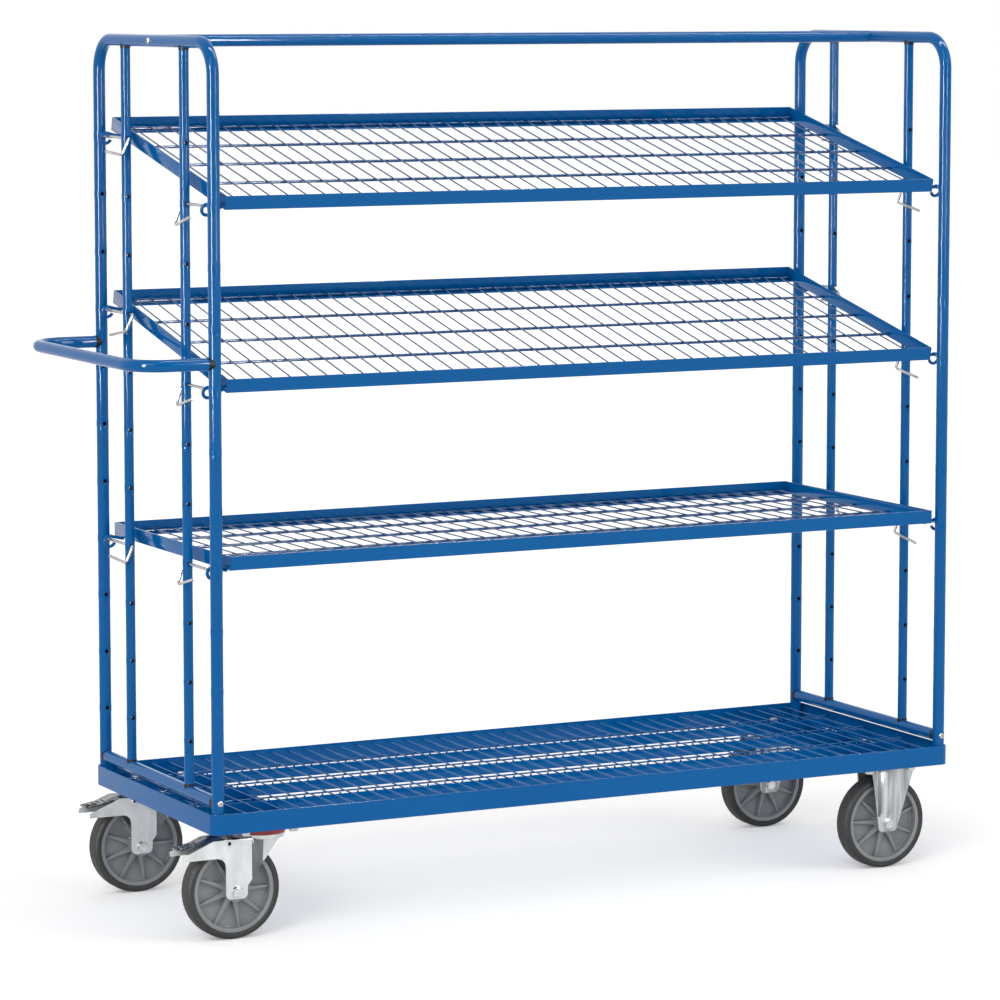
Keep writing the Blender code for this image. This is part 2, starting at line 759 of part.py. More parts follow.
def fixed_fork():
    """Two tapered legs under a top plate."""
    top = plate_bottom - wheel_radius
    outline = rounded_outline(
        [
            (-FIXED_FOOT_BACK, -FIXED_FOOT_DROP, LEG_FOOT_CORNER),
            (FIXED_FOOT_FRONT, -FIXED_FOOT_DROP, LEG_FOOT_CORNER),
            (FIXED_TOP_FRONT, top + FUSE, 0),
            (-FIXED_TOP_BACK, top + FUSE, 0),
        ],
        LEG_CORNER_STEPS,
    )
    legs = leg_plates(outline, axle_hole())
    x, y = PLATE_LENGTH / 2, PLATE_WIDTH / 2
    plate = box((-x, -y, top), (x, y, top + PLATE_THICKNESS))
    return combined("UNION", legs, plate)


def axle_bolt():
    """The axle with its head and nut outside the legs."""
    seat = FORK_WIDTH / 2 + CLEARANCE
    end = seat + AXLE_HEAD_HEIGHT
    rod = bar((0, -seat - FUSE, 0), (0, seat + FUSE, 0), AXLE_DIAMETER, AXLE_SIDES)
    ends = [
        bar((0, side * seat, 0), (0, side * end, 0), AXLE_HEAD_DIAMETER, HOLE_SIDES, 0)
        for side in (-1, 1)
    ]
    return combined("UNION", rod, together(ends))


def wheel_rim():
    """The grey centre: hub, web, ring and tapered ribs."""
    hub_end, web = leg_inside - CLEARANCE, WEB_THICKNESS / 2
    bore, hub = AXLE_DIAMETER / 2 + 2 * CLEARANCE, HUB_DIAMETER / 2
    outer = wheel_radius - TYRE_DEPTH - CLEARANCE
    ring, edge = outer - RING_DEPTH, RING_WIDTH / 2
    upper = [(bore, hub_end), (hub, hub_end), (hub, web), (ring, web), (ring, edge), (outer, edge)]
    lower = [(radius, -height) for radius, height in reversed(upper)]
    centre = turned(upper + lower, TURN_STEPS)
    star = []
    for index in range(RIB_COUNT):
        middle = 2 * math.pi * index / RIB_COUNT
        ribs = ((hub - FUSE, -RIB_HUB_WIDTH), (ring + FUSE, -RIB_RING_WIDTH))
        for radius, width in (*ribs, *((far, -near) for far, near in reversed(ribs))):
            angle = middle + width / 2 / radius
            star.append((radius * math.cos(angle), radius * math.sin(angle)))
    halfway_to_bore = hub + bore
    hole = circle(0, 0, halfway_to_bore, TURN_STEPS)
    ribs = prism([star, hole], RIB_DEPTH)
    return moved(combined("UNION", centre, ribs), STANDING)


def wheel_tyre():
    """The tyre, its tread slightly crowned and its shoulders cut back."""
    inner, outer = wheel_radius - TYRE_DEPTH, wheel_radius
    side = TYRE_WIDTH / 2
    shoulder, tread = outer - TYRE_SHOULDER, side - TYRE_SHOULDER
    upper = [(inner, side), (shoulder, side), (outer - TREAD_CROWN, tread), (outer, 0)]
    lower = [(radius, -height) for radius, height in reversed(upper[:-1])]
    return moved(turned(upper + lower, TURN_STEPS), STANDING)


def brake_pedal():
    """A slotted step plate between the wings, its ears beside the pivot, from the pivot."""
    width = 2 * (leg_inside - CLEARANCE)
    low, high = PEDAL_LIFT, PEDAL_LIFT + PEDAL_STEEL
    side_outline = [
        (PEDAL_EAR_RADIUS, low), (PEDAL_EAR_RADIUS, high),
        (-PEDAL_EAR_RADIUS, high), (-PEDAL_LENGTH, high - PEDAL_FALL),
        (-PEDAL_LENGTH, low - PEDAL_FALL), (-PEDAL_EAR_RADIUS, low),
    ]
    sheet = moved(prism([side_outline], width), STANDING)
    step = PEDAL_STEP_WIDTH / 2
    neck = PEDAL_STEP_LENGTH - PEDAL_LENGTH
    plan = [
        (2 * PEDAL_EAR_RADIUS, -width), (2 * PEDAL_EAR_RADIUS, width), (neck + step / 2, width),
        (neck, step), (-PEDAL_LENGTH - OVERRUN, step), (-PEDAL_LENGTH - OVERRUN, -step),
        (neck, -step), (neck + step / 2, -width),
    ]
    slots = []
    for index in range(PEDAL_SLOTS):
        x = PEDAL_SLOT_PITCH * (index + 1) - PEDAL_LENGTH
        half, end = PEDAL_SLOT_WIDTH / 2, PEDAL_SLOT_LENGTH / 2
        slots.append([(x - half, -end), (x + half, -end), (x + half, end), (x - half, end)])
    plate = combined("INTERSECT", sheet, prism([plan, *slots], 2 * PEDAL_LENGTH))
    radius = PEDAL_EAR_RADIUS
    ear_outline = rounded_outline(
        [(-radius, -radius, radius / 2), (radius, -radius, radius / 2), (radius, low + FUSE, 0),
         (-radius, low + FUSE, 0)],
        1,
    )
    ear = moved(prism([ear_outline], FORK_STEEL), STANDING)
    y = leg_inside - CLEARANCE - FORK_STEEL / 2
    ears = together([moved(ear, Matrix.Translation((0, side * y, 0))) for side in (-1, 1)])
    return combined("UNION", plate, ears)


def make_castors():
    """Two braked swivel castors at the handle end and two fixed castors at the other."""
    fork, fixed, axle = swivel_fork(), fixed_fork(), axle_bolt()
    rim, tyre, pedal = wheel_rim(), wheel_tyre(), brake_pedal()
    x, y = PLATE_LENGTH / 2, PLATE_WIDTH / 2
    plate = box((-x, -y, plate_bottom), (x, y, CASTOR_HEIGHT))
    seal_outer = SEAL_DIAMETER / 2
    seal_inner = seal_outer - SEAL_WALL
    seal_top = seal_bottom + SEAL_HEIGHT
    seal = turned(
        [
            (seal_inner, seal_top),
            (seal_outer, seal_top),
            (seal_outer, seal_bottom),
            (seal_inner, seal_bottom),
        ],
        TURN_STEPS,
    )
    for row, castor_side in (("front", -castor_y), ("rear", castor_y)):
        swivel = empty(f"swivel_{row}", (-castor_x, castor_side, 0), BASE)
        piece(f"swivel_plate_{row}", plate, ZINC, Matrix.Translation((-castor_x, castor_side, 0)))
        piece(f"swivel_seal_{row}", seal, RED_PLASTIC, Matrix.Translation((-castor_x, castor_side, 0)))
        at_axle = Matrix.Translation((-CASTOR_TRAIL, 0, wheel_radius))
        piece(f"swivel_fork_{row}", fork, ZINC, at_axle, swivel)
        piece(f"swivel_axle_{row}", axle, ZINC, at_axle, swivel)
        piece(f"swivel_rim_{row}", rim, GREY_PLASTIC, at_axle, swivel)
        piece(f"swivel_tyre_{row}", tyre, GREY_RUBBER, at_axle, swivel)
        at_pivot = at_axle @ Matrix.Translation((-PIVOT_BACK, 0, PIVOT_HEIGHT))
        piece(f"brake_pedal_{row}", pedal, DARK_STEEL, at_pivot, swivel)
        at_axle = Matrix.Translation((castor_x, castor_side, wheel_radius))
        piece(f"fixed_fork_{row}", fixed, ZINC, at_axle)
        piece(f"fixed_axle_{row}", axle, ZINC, at_axle)
        turn = Matrix.Rotation(FIXED_RIM_TURN * 2 * math.pi / TURN_STEPS, 4, "Y")
        piece(f"fixed_rim_{row}", rim, GREY_PLASTIC, at_axle @ turn)
        piece(f"fixed_tyre_{row}", tyre, GREY_RUBBER, at_axle)


make_base_rim()
make_castor_channels()
make_deck()
make_end_hoops()
make_inner_posts()
make_cross_rails()
make_top_rail()
make_handle()
make_shelves()
make_pins()
make_castors()
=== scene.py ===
import math

import bmesh
import bpy
from mathutils import Matrix, Vector


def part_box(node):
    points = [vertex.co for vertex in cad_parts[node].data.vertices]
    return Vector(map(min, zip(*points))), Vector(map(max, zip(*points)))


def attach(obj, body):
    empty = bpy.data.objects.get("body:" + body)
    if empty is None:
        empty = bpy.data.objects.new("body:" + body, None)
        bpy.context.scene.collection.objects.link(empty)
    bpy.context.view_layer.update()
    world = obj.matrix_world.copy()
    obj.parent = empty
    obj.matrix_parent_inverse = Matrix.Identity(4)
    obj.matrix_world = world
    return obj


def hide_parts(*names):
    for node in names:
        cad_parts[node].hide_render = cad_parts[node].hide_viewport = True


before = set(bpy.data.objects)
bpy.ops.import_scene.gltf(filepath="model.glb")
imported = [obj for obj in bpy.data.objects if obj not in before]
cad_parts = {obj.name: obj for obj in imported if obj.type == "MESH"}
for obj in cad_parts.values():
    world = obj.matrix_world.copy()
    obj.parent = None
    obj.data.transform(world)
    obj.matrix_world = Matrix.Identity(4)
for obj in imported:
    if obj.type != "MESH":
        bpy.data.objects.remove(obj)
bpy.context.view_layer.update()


# End hoops. Each end frame is one steel tube bent into a hoop, whose legs are the corner posts.
# The inner wall of each post is pierced every 120 mm for the shelf pins, which pinches the tube
# a little. All of the steelwork is powder coated in one gloss blue.
tube_radius = 0.0125
post_y = 0.2991
post_x = {side: sum(corner.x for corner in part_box(f"end_hoop_{side}")) / 2 for side in ("left", "right")}
post_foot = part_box("end_hoop_left")[0].z
top_bar_z = 1.7875
hoop_bend = 0.065
hole_heights = [0.388 + 0.120 * number for number in range(11)]
hole_radius = 0.0042
pinch_reach = 0.0100
pinch_shoulder = 0.003
pinch = (1.05, 0.93, 1)
hoop_drill = (-0.007, 0.016)
cloud_range = (0.30, 0.70)


def new_finish(name, colour, roughness, metallic=0.0, sheen_level=0.5):
    """A finish with its shader's plain values, ready for the detail that varies over a piece."""
    made = bpy.data.materials.new(name)
    made.use_nodes = True
    shader = made.node_tree.nodes["Principled BSDF"]
    shader.inputs["Base Color"].default_value = (*colour, 1)
    shader.inputs["Roughness"].default_value = roughness
    shader.inputs["Metallic"].default_value = metallic
    shader.inputs["Specular IOR Level"].default_value = sheen_level
    return made


def cloudy(made, scale, detail=3.0, stretch=(1, 1, 1)):
    """Noise over the piece's own space, as the start of a variation."""
    nodes, links = made.node_tree.nodes, made.node_tree.links
    where, turned, cloud = (nodes.new(f"ShaderNode{kind}") for kind in ("TexCoord", "Mapping", "TexNoise"))
    turned.inputs["Scale"].default_value = stretch
    cloud.inputs["Scale"].default_value = scale
    cloud.inputs["Detail"].default_value = detail
    links.new(where.outputs["Object"], turned.inputs["Vector"])
    links.new(turned.outputs["Vector"], cloud.inputs["Vector"])
    return cloud.outputs["Fac"]


def between(made, kind, cloud, entry, result, socket):
    """Put a node between a cloud and one of the shader's sockets."""
    node = made.node_tree.nodes.new(kind)
    shader = made.node_tree.nodes["Principled BSDF"]
    made.node_tree.links.new(cloud, node.inputs[entry])
    made.node_tree.links.new(node.outputs[result], shader.inputs[socket])
    return node


def vary_colour(made, cloud, dark, light):
    """Let the colour drift between a darker and a lighter tone."""
    ramp = between(made, "ShaderNodeValToRGB", cloud, "Fac", "Color", "Base Color").color_ramp
    for stop, position, tone in zip(ramp.elements, cloud_range, (dark, light)):
        stop.position = position
        stop.color = (*tone, 1)


def vary_gloss(made, cloud, smooth, dull):
    """Let the roughness drift between two values."""
    spread = between(made, "ShaderNodeMapRange", cloud, "Value", "Result", "Roughness")
    for socket, value in zip(("From Min", "From Max", "To Min", "To Max"), (*cloud_range, smooth, dull)):
        spread.inputs[socket].default_value = value


def texture_surface(made, cloud, depth, strength):
    """Raise a fine relief, this deep in metres."""
    relief = between(made, "ShaderNodeBump", cloud, "Height", "Normal", "Normal")
    relief.inputs["Distance"].default_value = depth
    relief.inputs["Strength"].default_value = strength


blue_coat = new_finish("blue_powder_coat", (0.0005, 0.110, 0.345), 0.07, sheen_level=0.14)
vary_colour(blue_coat, cloudy(blue_coat, 2.5), (0.0004, 0.104, 0.330), (0.0010, 0.116, 0.360))
vary_gloss(blue_coat, cloudy(blue_coat, 6), 0.06, 0.09)
texture_surface(blue_coat, cloudy(blue_coat, 400, 2.0), 0.00001, 0.12)
# Painted shade: a near-black finish for the walls of holes, standing in for the shade inside them.
painted_bore_shade = new_finish("bore_shadow", (0.012, 0.012, 0.016), 0.7, sheen_level=0.1)
vary_colour(painted_bore_shade, cloudy(painted_bore_shade, 90), (0.008, 0.008, 0.010), (0.018, 0.017, 0.020))


def alone(piece):
    """Select this piece and nothing else."""
    bpy.ops.object.select_all(action="DESELECT")
    piece.select_set(True)
    bpy.context.view_layer.objects.active = piece


def into_edit(piece):
    """Open a piece in edit mode with nothing selected."""
    alone(piece)
    bpy.ops.object.mode_set(mode="EDIT")
    bpy.ops.mesh.select_all(action="DESELECT")


def pick(piece, kind, test):
    """In edit mode, select only the points, edges or faces that pass the test.

    The test gets a point's place, an edge's middle and direction, or a face's middle and normal.
    """
    bpy.ops.mesh.select_mode(type=kind)
    bpy.ops.mesh.select_all(action="DESELECT")
    shape = bmesh.from_edit_mesh(piece.data)
    if kind == "FACE":
        for face in shape.faces:
            face.select_set(bool(test(face.calc_center_median(), face.normal)))
    elif kind == "EDGE":
        for edge in shape.edges:
            first, last = (vertex.co for vertex in edge.verts)
            edge.select_set(bool(test((first + last) / 2, (last - first).normalized())))
    else:
        for vertex in shape.verts:
            vertex.select_set(bool(test(vertex.co)))
    shape.select_flush_mode()
    bmesh.update_edit_mesh(piece.data)


def named(name):
    """Name the piece just added and put its place in its mesh."""
    made = bpy.context.object
    made.name = made.data.name = name
    bpy.ops.object.transform_apply(location=True, rotation=True, scale=True)
    return made


def closed_up(piece, angle=35):
    """Merge the seams, turn the faces outward and shade the round parts smooth."""
    alone(piece)
    bpy.ops.object.mode_set(mode="EDIT")
    bpy.ops.mesh.select_mode(type="VERT")
    bpy.ops.mesh.select_all(action="SELECT")
    bpy.ops.mesh.remove_doubles(threshold=0.00002)
    bpy.ops.mesh.normals_make_consistent(inside=False)
    bpy.ops.object.mode_set(mode="OBJECT")
    bpy.ops.object.shade_smooth_by_angle(angle=math.radians(angle))
    return piece


def worked(piece, kind, **values):
    """Give a piece a modifier with these values and apply it."""
    alone(piece)
    bpy.ops.object.modifier_add(type=kind)
    change = piece.modifiers[-1]
    for key, value in values.items():
        setattr(change, key, value)
    bpy.ops.object.modifier_apply(modifier=change.name)
    return piece


def repeated(piece, count, step):
    """A row of the same, each one moved on by this step."""
    return worked(piece, "ARRAY", count=count, use_relative_offset=False, use_constant_offset=True,
                  constant_offset_displace=step)


def turned_to(way):
    """The turn that points a piece's Z along this way."""
    return Vector(way).to_track_quat("Z", "Y").to_euler()


def round_bar(name, sides, radius, depth, place, turn=(0, 0, 0)):
    """A plain cylinder, to work on or to cut with."""
    bpy.ops.object.select_all(action="DESELECT")
    bpy.ops.mesh.primitive_cylinder_add(
        vertices=sides, radius=radius, depth=depth, location=place, rotation=turn
    )
    return named(name)


def cut_by(piece, cutter):
    """Take the cutter's shape out of a piece."""
    closed_up(cutter)
    worked(piece, "BOOLEAN", operation="DIFFERENCE", solver="EXACT", object=cutter)
    bpy.data.objects.remove(cutter)
    return piece


def joined(name, *pieces):
    """Several loose parts as one piece."""
    alone(pieces[0])
    for piece in pieces:
        piece.select_set(True)
    if len(pieces) > 1:
        bpy.ops.object.join()
    pieces[0].name = pieces[0].data.name = name
    return pieces[0]


def copied(model, name, place=Matrix()):
    """Another one of the same with a mesh of its own, moved to its place."""
    alone(model)
    bpy.ops.object.duplicate()
    made = bpy.context.object
    made.name = made.data.name = name
    made.matrix_world = place @ made.matrix_world
    bpy.ops.object.transform_apply(location=True, rotation=True, scale=True)
    return made


def fitted(piece, body, slot, finish, *nodes):
    """Finish a piece and let it ride on its body, in place of these nodes."""
    piece.data.materials.clear()
    piece.data.materials.append(finish)
    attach(piece, body)
    if nodes:
        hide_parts(*nodes)
    return piece


def tinted(piece, finish, test):
    """Give the faces that pass the test one more finish."""
    piece.data.materials.append(finish)
    into_edit(piece)
    pick(piece, "FACE", test)
    piece.active_material_index = len(piece.data.materials) - 1
    bpy.ops.object.material_slot_assign()
    bpy.ops.object.mode_set(mode="OBJECT")


def open_disc(name, sides, radius, place, way):
    """A filled circle across a direction, open in edit mode and selected, to be pushed out."""
    bpy.ops.object.select_all(action="DESELECT")
    bpy.ops.mesh.primitive_circle_add(
        vertices=sides, radius=radius, fill_type="NGON", location=place, rotation=turned_to(way)
    )
    made = named(name)
    bpy.ops.object.mode_set(mode="EDIT")
    bpy.ops.mesh.select_all(action="SELECT")
    return made


def drawn_tube(name, corners, bend, radius, sides=32, steps=12):
    """A tube or wire along its corners, pushed out straight and spun round each bend."""
    corners = [Vector(corner) for corner in corners]
    ways = [(after - before).normalized() for before, after in zip(corners, corners[1:])]
    tube = open_disc(name, sides, radius, corners[0], ways[0])
    at = corners[0]
    for way, onward, corner in zip(ways, [*ways[1:], ways[-1]], corners[1:]):
        turn = way.angle(onward)
        reach = (corner - at).length - bend * math.tan(turn / 2)
        bpy.ops.mesh.extrude_region_move(TRANSFORM_OT_translate={"value": way * reach})
        at = at + way * reach
        if turn > 0.001:
            inward = (onward - way * way.dot(onward)).normalized()
            bpy.ops.mesh.spin(steps=steps, angle=turn, center=at + inward * bend, axis=onward.cross(way))
            at = corner + onward * bend * math.tan(turn / 2)
    bpy.ops.object.mode_set(mode="OBJECT")
    return closed_up(tube)


def scored(places, way):
    """Cut new edges right round the open piece, at each of these distances along an axis."""
    for place in places:
        bpy.ops.mesh.select_all(action="SELECT")
        bpy.ops.mesh.bisect(plane_co=Vector(way) * place, plane_no=way)


def pierced(post, places, low_y, high_y):
    """Pinch a post at every hole height, at each of these (x, y), and drill it along Y there.

    The drill reaches from low_y to high_y, measured from the post's middle toward the trolley's.
    """
    into_edit(post)
    rings = [side * reach for side, reach in (
        (-1, pinch_reach + pinch_shoulder), (-1, pinch_reach), (-1, hole_radius),
        (1, hole_radius), (1, pinch_reach), (1, pinch_reach + pinch_shoulder),
    )]
    for height in hole_heights:
        scored([height + offset for offset in rings], (0, 0, 1))
        for x, y in places:
            pick(post, "VERT", lambda co: (
                abs(co.z - height) < 1.2 * hole_radius and abs(co.y - y) < 2 * tube_radius
            ))
            bpy.ops.transform.resize(value=pinch, center_override=(x, y, height))
    bpy.ops.object.mode_set(mode="OBJECT")
    for x, y in places:
        start = (x, y - math.copysign(1, y) * (low_y + high_y) / 2, hole_heights[0])
        drill = round_bar("drill", 20, hole_radius, high_y - low_y, start, (math.pi / 2, 0, 0))
        cut_by(post, repeated(drill, len(hole_heights), (0, 0, hole_heights[1] - hole_heights[0])))
    return closed_up(post, 30)


def paint_hole_shade(post, places):
    """Paint the walls of the drilled holes near black, as painted shade for the unlit inside of a hollow
    tube.
    """
    tinted(post, painted_bore_shade, lambda co, normal: (abs(normal.z) > 0.05 or abs(normal.y) < 0.05) and any(
        math.hypot(co.x - x, co.z - height) < 0.999 * hole_radius and abs(co.y - y) < 2 * tube_radius
        for x, y in places for height in hole_heights
    ))


for side, x in post_x.items():
    corners = [
        (x, post_y, post_foot), (x, post_y, top_bar_z), (x, -post_y, top_bar_z), (x, -post_y, post_foot)
    ]
    hoop = drawn_tube(f"{side}_hoop", corners, hoop_bend, tube_radius)
    legs = [(x, post_y), (x, -post_y)]
    pierced(hoop, legs, *hoop_drill)
    fitted(hoop, "frame", "blue_paint", blue_coat, f"end_hoop_{side}")
    # Painted shade on the walls of the pin holes.
    paint_hole_shade(hoop, legs)


# Inner posts. Two thinner tubes stand inside each hoop between the cross rail and the top bar.
# They are drilled right through, in line with the holes of the corner posts.
inner_radius = 0.010
inner_y = 0.1535
cross_rail_z = 0.2850
inner_drill = (-0.015, 0.015)
for side, x in post_x.items():
    for row, y in (("front", -inner_y), ("rear", inner_y)):
        ends = [(x, y, cross_rail_z), (x, y, top_bar_z)]
        post = drawn_tube(f"{side}_{row}_inner_post", ends, 0, inner_radius, 28)
        pierced(post, [(x, y)], *inner_drill)
        fitted(post, "frame", "blue_paint", blue_coat, f"inner_post_{side}_{row}")
        # Painted shade on the walls of the pin holes.
        paint_hole_shade(post, [(x, y)])


# Cross rails and top rail. Tubes of the posts' size, cut to a saddle shape at their ends and
# pulled up against the posts and the top bars by screws from outside.
cutter_length = 0.1
for side, x in post_x.items():
    ends = [(x, -post_y, cross_rail_z), (x, post_y, cross_rail_z)]
    rail = drawn_tube(f"{side}_cross_rail", ends, 0, tube_radius)
    for end in ends:
        cut_by(rail, round_bar("post_saddle", 32, tube_radius, cutter_length, end))
    closed_up(rail, 30)
    fitted(rail, "frame", "blue_paint", blue_coat, f"cross_rail_{side}")

ends = [(x, 0, top_bar_z) for x in post_x.values()]
top_rail = drawn_tube("top_rail_tube", ends, 0, tube_radius)
for end in ends:
    cut_by(top_rail, round_bar("bar_saddle", 32, tube_radius, cutter_length, end, (math.pi / 2, 0, 0)))
closed_up(top_rail, 30)
fitted(top_rail, "frame", "blue_paint", blue_coat, "top_rail")


# Push handle. One tube bent twice, screwed to the left corner posts at hip height through
# black plastic saddles that bridge the gap between its ends and the round posts.
handle_z = 1.160
grip_x = post_x["left"] - 0.1609
handle_bend = 0.070
saddle_base = 0.002
handle_end = post_x["left"] - tube_radius - saddle_base
corners = [
    (x, y, handle_z)
    for x, y in ((handle_end, -post_y), (grip_x, -post_y), (grip_x, post_y), (handle_end, post_y))
]
handle = drawn_tube("push_handle_tube", corners, handle_bend, tube_radius, steps=14)
fitted(handle, "frame", "blue_paint", blue_coat, "push_handle")

black_plastic = new_finish("black_plastic", (0.005, 0.005, 0.006), 0.5, sheen_level=0.2)
vary_colour(black_plastic, cloudy(black_plastic, 60), (0.004, 0.004, 0.004), (0.008, 0.008, 0.009))
vary_gloss(black_plastic, cloudy(black_plastic, 200), 0.42, 0.60)
texture_surface(black_plastic, cloudy(black_plastic, 1500), 0.00003, 0.5)


def eased(piece, width, segments, angle):
    """Bevel the edges of a piece that are sharper than this angle."""
    return worked(piece, "BEVEL", width=width, segments=segments, limit_method="ANGLE",
                  angle_limit=math.radians(angle))


def saddle(name, seat, way, radius, depth, tube_way):
    """A plastic saddle on the end of a tube that points this way at the middle of another tube."""
    seat, way = Vector(seat), Vector(way)
    start = seat - way * (tube_radius + depth)
    sleeve = drawn_tube(name, [start, seat - way * tube_radius * 0.25], 0, radius, 32)
    eased(sleeve, 0.0006, 2, 60)
    cut_by(sleeve, round_bar("seat", 48, tube_radius, cutter_length, seat, turned_to(tube_way)))
    return closed_up(sleeve, 30)


sleeve_radius = tube_radius + 0.0004
inner_sleeve_radius = inner_radius + 0.0006
sleeve_depth = 0.0035
for row, y in (("front", -post_y), ("rear", post_y)):
    seat = (post_x["left"], y, handle_z)
    sleeve = saddle(f"{row}_handle_sleeve", seat, (1, 0, 0), sleeve_radius, saddle_base + 0.002, (0, 0, 1))
    fitted(sleeve, "frame", "black_plastic", black_plastic, f"handle_saddle_{row}")
for side, x in post_x.items():
    sleeves = []
    for y in (-inner_y, inner_y):
        for z, way in ((top_bar_z, 1), (cross_rail_z, -1)):
            seat = (x, y, z)
            sleeves.append(saddle("sleeve", seat, (0, 0, way), inner_sleeve_radius, sleeve_depth, (0, 1, 0)))
    for y in (-post_y, post_y):
        way = (0, math.copysign(1, y), 0)
        sleeves.append(saddle("sleeve", (x, y, cross_rail_z), way, sleeve_radius, sleeve_depth, (0, 0, 1)))
    fitted(joined(f"{side}_end_sleeves", *sleeves), "frame", "black_plastic", black_plastic)


# Base rim. A steel band folded round the deck with wide round corners and a narrow lip turned
# in underneath, welded shut and coated.
rim_low, rim_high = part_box("base_rim")
rim_wall = 0.003
rim_lip = 0.005
rim_corner = 0.020
size, middle = rim_high - rim_low, (rim_low + rim_high) / 2


def open_block(name, middle, size):
    """A plain block, open in edit mode with nothing selected."""
    bpy.ops.object.select_all(action="DESELECT")
    bpy.ops.mesh.primitive_cube_add(size=1, location=middle, scale=size)
    made = named(name)
    into_edit(made)
    return made


rim = open_block("base_rim_band", middle, size)
pick(rim, "EDGE", lambda co, way: abs(way.z) > 0.9)
bpy.ops.mesh.bevel(offset=rim_corner, segments=8)
pick(rim, "FACE", lambda co, normal: abs(normal.z) > 0.9)
bpy.ops.mesh.inset(thickness=rim_wall)
pick(rim, "FACE", lambda co, normal: normal.z > 0.9 and (co - middle).xy.length < 0.01)
bpy.ops.mesh.extrude_region_move(TRANSFORM_OT_translate={"value": (0, 0, rim_wall - size.z)})
bpy.ops.mesh.inset(thickness=rim_lip - rim_wall)
bpy.ops.mesh.delete(type="FACE")
pick(rim, "FACE", lambda co, normal: normal.z < -0.9 and (co - middle).xy.length < 0.01)
bpy.ops.mesh.inset(thickness=rim_lip - rim_wall)
bpy.ops.mesh.delete(type="FACE")
bpy.ops.mesh.select_mode(type="EDGE")
bpy.ops.mesh.select_non_manifold(extend=False)
bpy.ops.mesh.bridge_edge_loops()
bpy.ops.object.mode_set(mode="OBJECT")
closed_up(rim)
eased(rim, 0.0009, 3, 40)
closed_up(rim, 30)
fitted(rim, "frame", "blue_paint", blue_coat, "base_rim")


# Castor channels and deck bearers. Two shallow folded channels cross the rim where the castors
# bolt on, and three upright flats run the whole length and carry the deck's mesh.
def folded_box(name, low, high, edge):
    """A flat or a block of sheet between two corners, its edges eased."""
    low, high = Vector(low), Vector(high)
    made = open_block(name, (low + high) / 2, high - low)
    bpy.ops.mesh.select_all(action="SELECT")
    bpy.ops.mesh.bevel(offset=edge, segments=2, affect="EDGES")
    bpy.ops.object.mode_set(mode="OBJECT")
    return closed_up(made, 30)


channel_wall = 0.003
channel_edge = 0.0008
bearer_drop = 0.0025
bearer_edge = 0.0007
for side in ("left", "right"):
    low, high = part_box(f"castor_channel_{side}")
    floor = folded_box(f"{side}_castor_channel", low, (high.x, high.y, low.z + channel_wall), channel_edge)
    walls = [
        folded_box("wall", (x, low.y, low.z), (x + channel_wall, high.y, high.z), channel_edge)
        for x in (low.x, high.x - channel_wall)
    ]
    fitted(joined(floor.name, floor, *walls), "frame", "blue_paint", blue_coat, f"castor_channel_{side}")
for number in (1, 2, 3):
    low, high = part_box(f"deck_bearer_{number}")
    bearer = folded_box(f"deck_flat_{number}", low, (high.x, high.y, high.z - bearer_drop), bearer_edge)
    fitted(bearer, "frame", "blue_paint", blue_coat, f"deck_bearer_{number}")


# Deck mesh. Thin wires across the trolley, resistance welded every 40 mm to a few stronger rods
# that run its whole length. The welds sink the wires a little into the rods.
wire_radius = 0.0015
wire_pitch = 0.040
wire_sink = 0.0004
bead_radius = 0.002
deck_wires = 42
deck_rod_radius = 0.0018
deck_rods = (-0.139, 0.020, 0.179)
deck_wire_z = 0.2569
bearer_rows = (-0.159, 0, 0.159)
bearer_bead_z = 0.2540
first_bead = 0.0267


def weld_row(first, count, y, z, stretch):
    """Small weld beads, one at each wire along a rod."""
    bpy.ops.object.select_all(action="DESELECT")
    bpy.ops.mesh.primitive_ico_sphere_add(
        subdivisions=2, radius=bead_radius, location=(first, y, z), scale=stretch
    )
    bead = named("bead")
    into_edit(bead)
    pick(bead, "VERT", lambda co: co.z < z - bead_radius / 2 * stretch[2])
    bpy.ops.transform.resize(value=(1.3, 1.3, 1), center_override=(first, y, z))
    bpy.ops.object.mode_set(mode="OBJECT")
    return closed_up(repeated(bead, count, (wire_pitch, 0, 0)), 60)


def welded_mesh(name, middle, half_length, half_depth, wires, rod_radius, rod_rows, wire_z):
    """Wires across rods, all as one panel, with a bead of weld where they cross."""
    first = middle.x - (wires - 1) / 2 * wire_pitch
    ends = [(first, middle.y + end * half_depth, wire_z) for end in (-1, 1)]
    parts = [repeated(drawn_tube(name, ends, 0, wire_radius, 12), wires, (wire_pitch, 0, 0))]
    rod_z = wire_z - wire_radius - rod_radius + wire_sink
    for row in rod_rows:
        y = middle.y + row
        rod_ends = [(middle.x + end * half_length, y, rod_z) for end in (-1, 1)]
        parts.append(drawn_tube("rod", rod_ends, 0, rod_radius, 16))
        parts.append(weld_row(first, wires, y, rod_z + 0.6 * rod_radius, (1.0, 1.7, 0.9)))
    return joined(name, *parts)


low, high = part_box("deck_grid")
deck = welded_mesh(
    "deck_mesh", (low + high) / 2, (high.x - low.x) / 2, (high.y - low.y) / 2,
    deck_wires, deck_rod_radius, deck_rods, deck_wire_z,
)
deck_beads = [
    weld_row(low.x + first_bead, deck_wires, y, bearer_bead_z, (1.0, 1.6, 1.1)) for y in bearer_rows
]
deck = joined("deck_mesh", deck, *deck_beads)
fitted(deck, "frame", "blue_paint", blue_coat, "deck_grid")


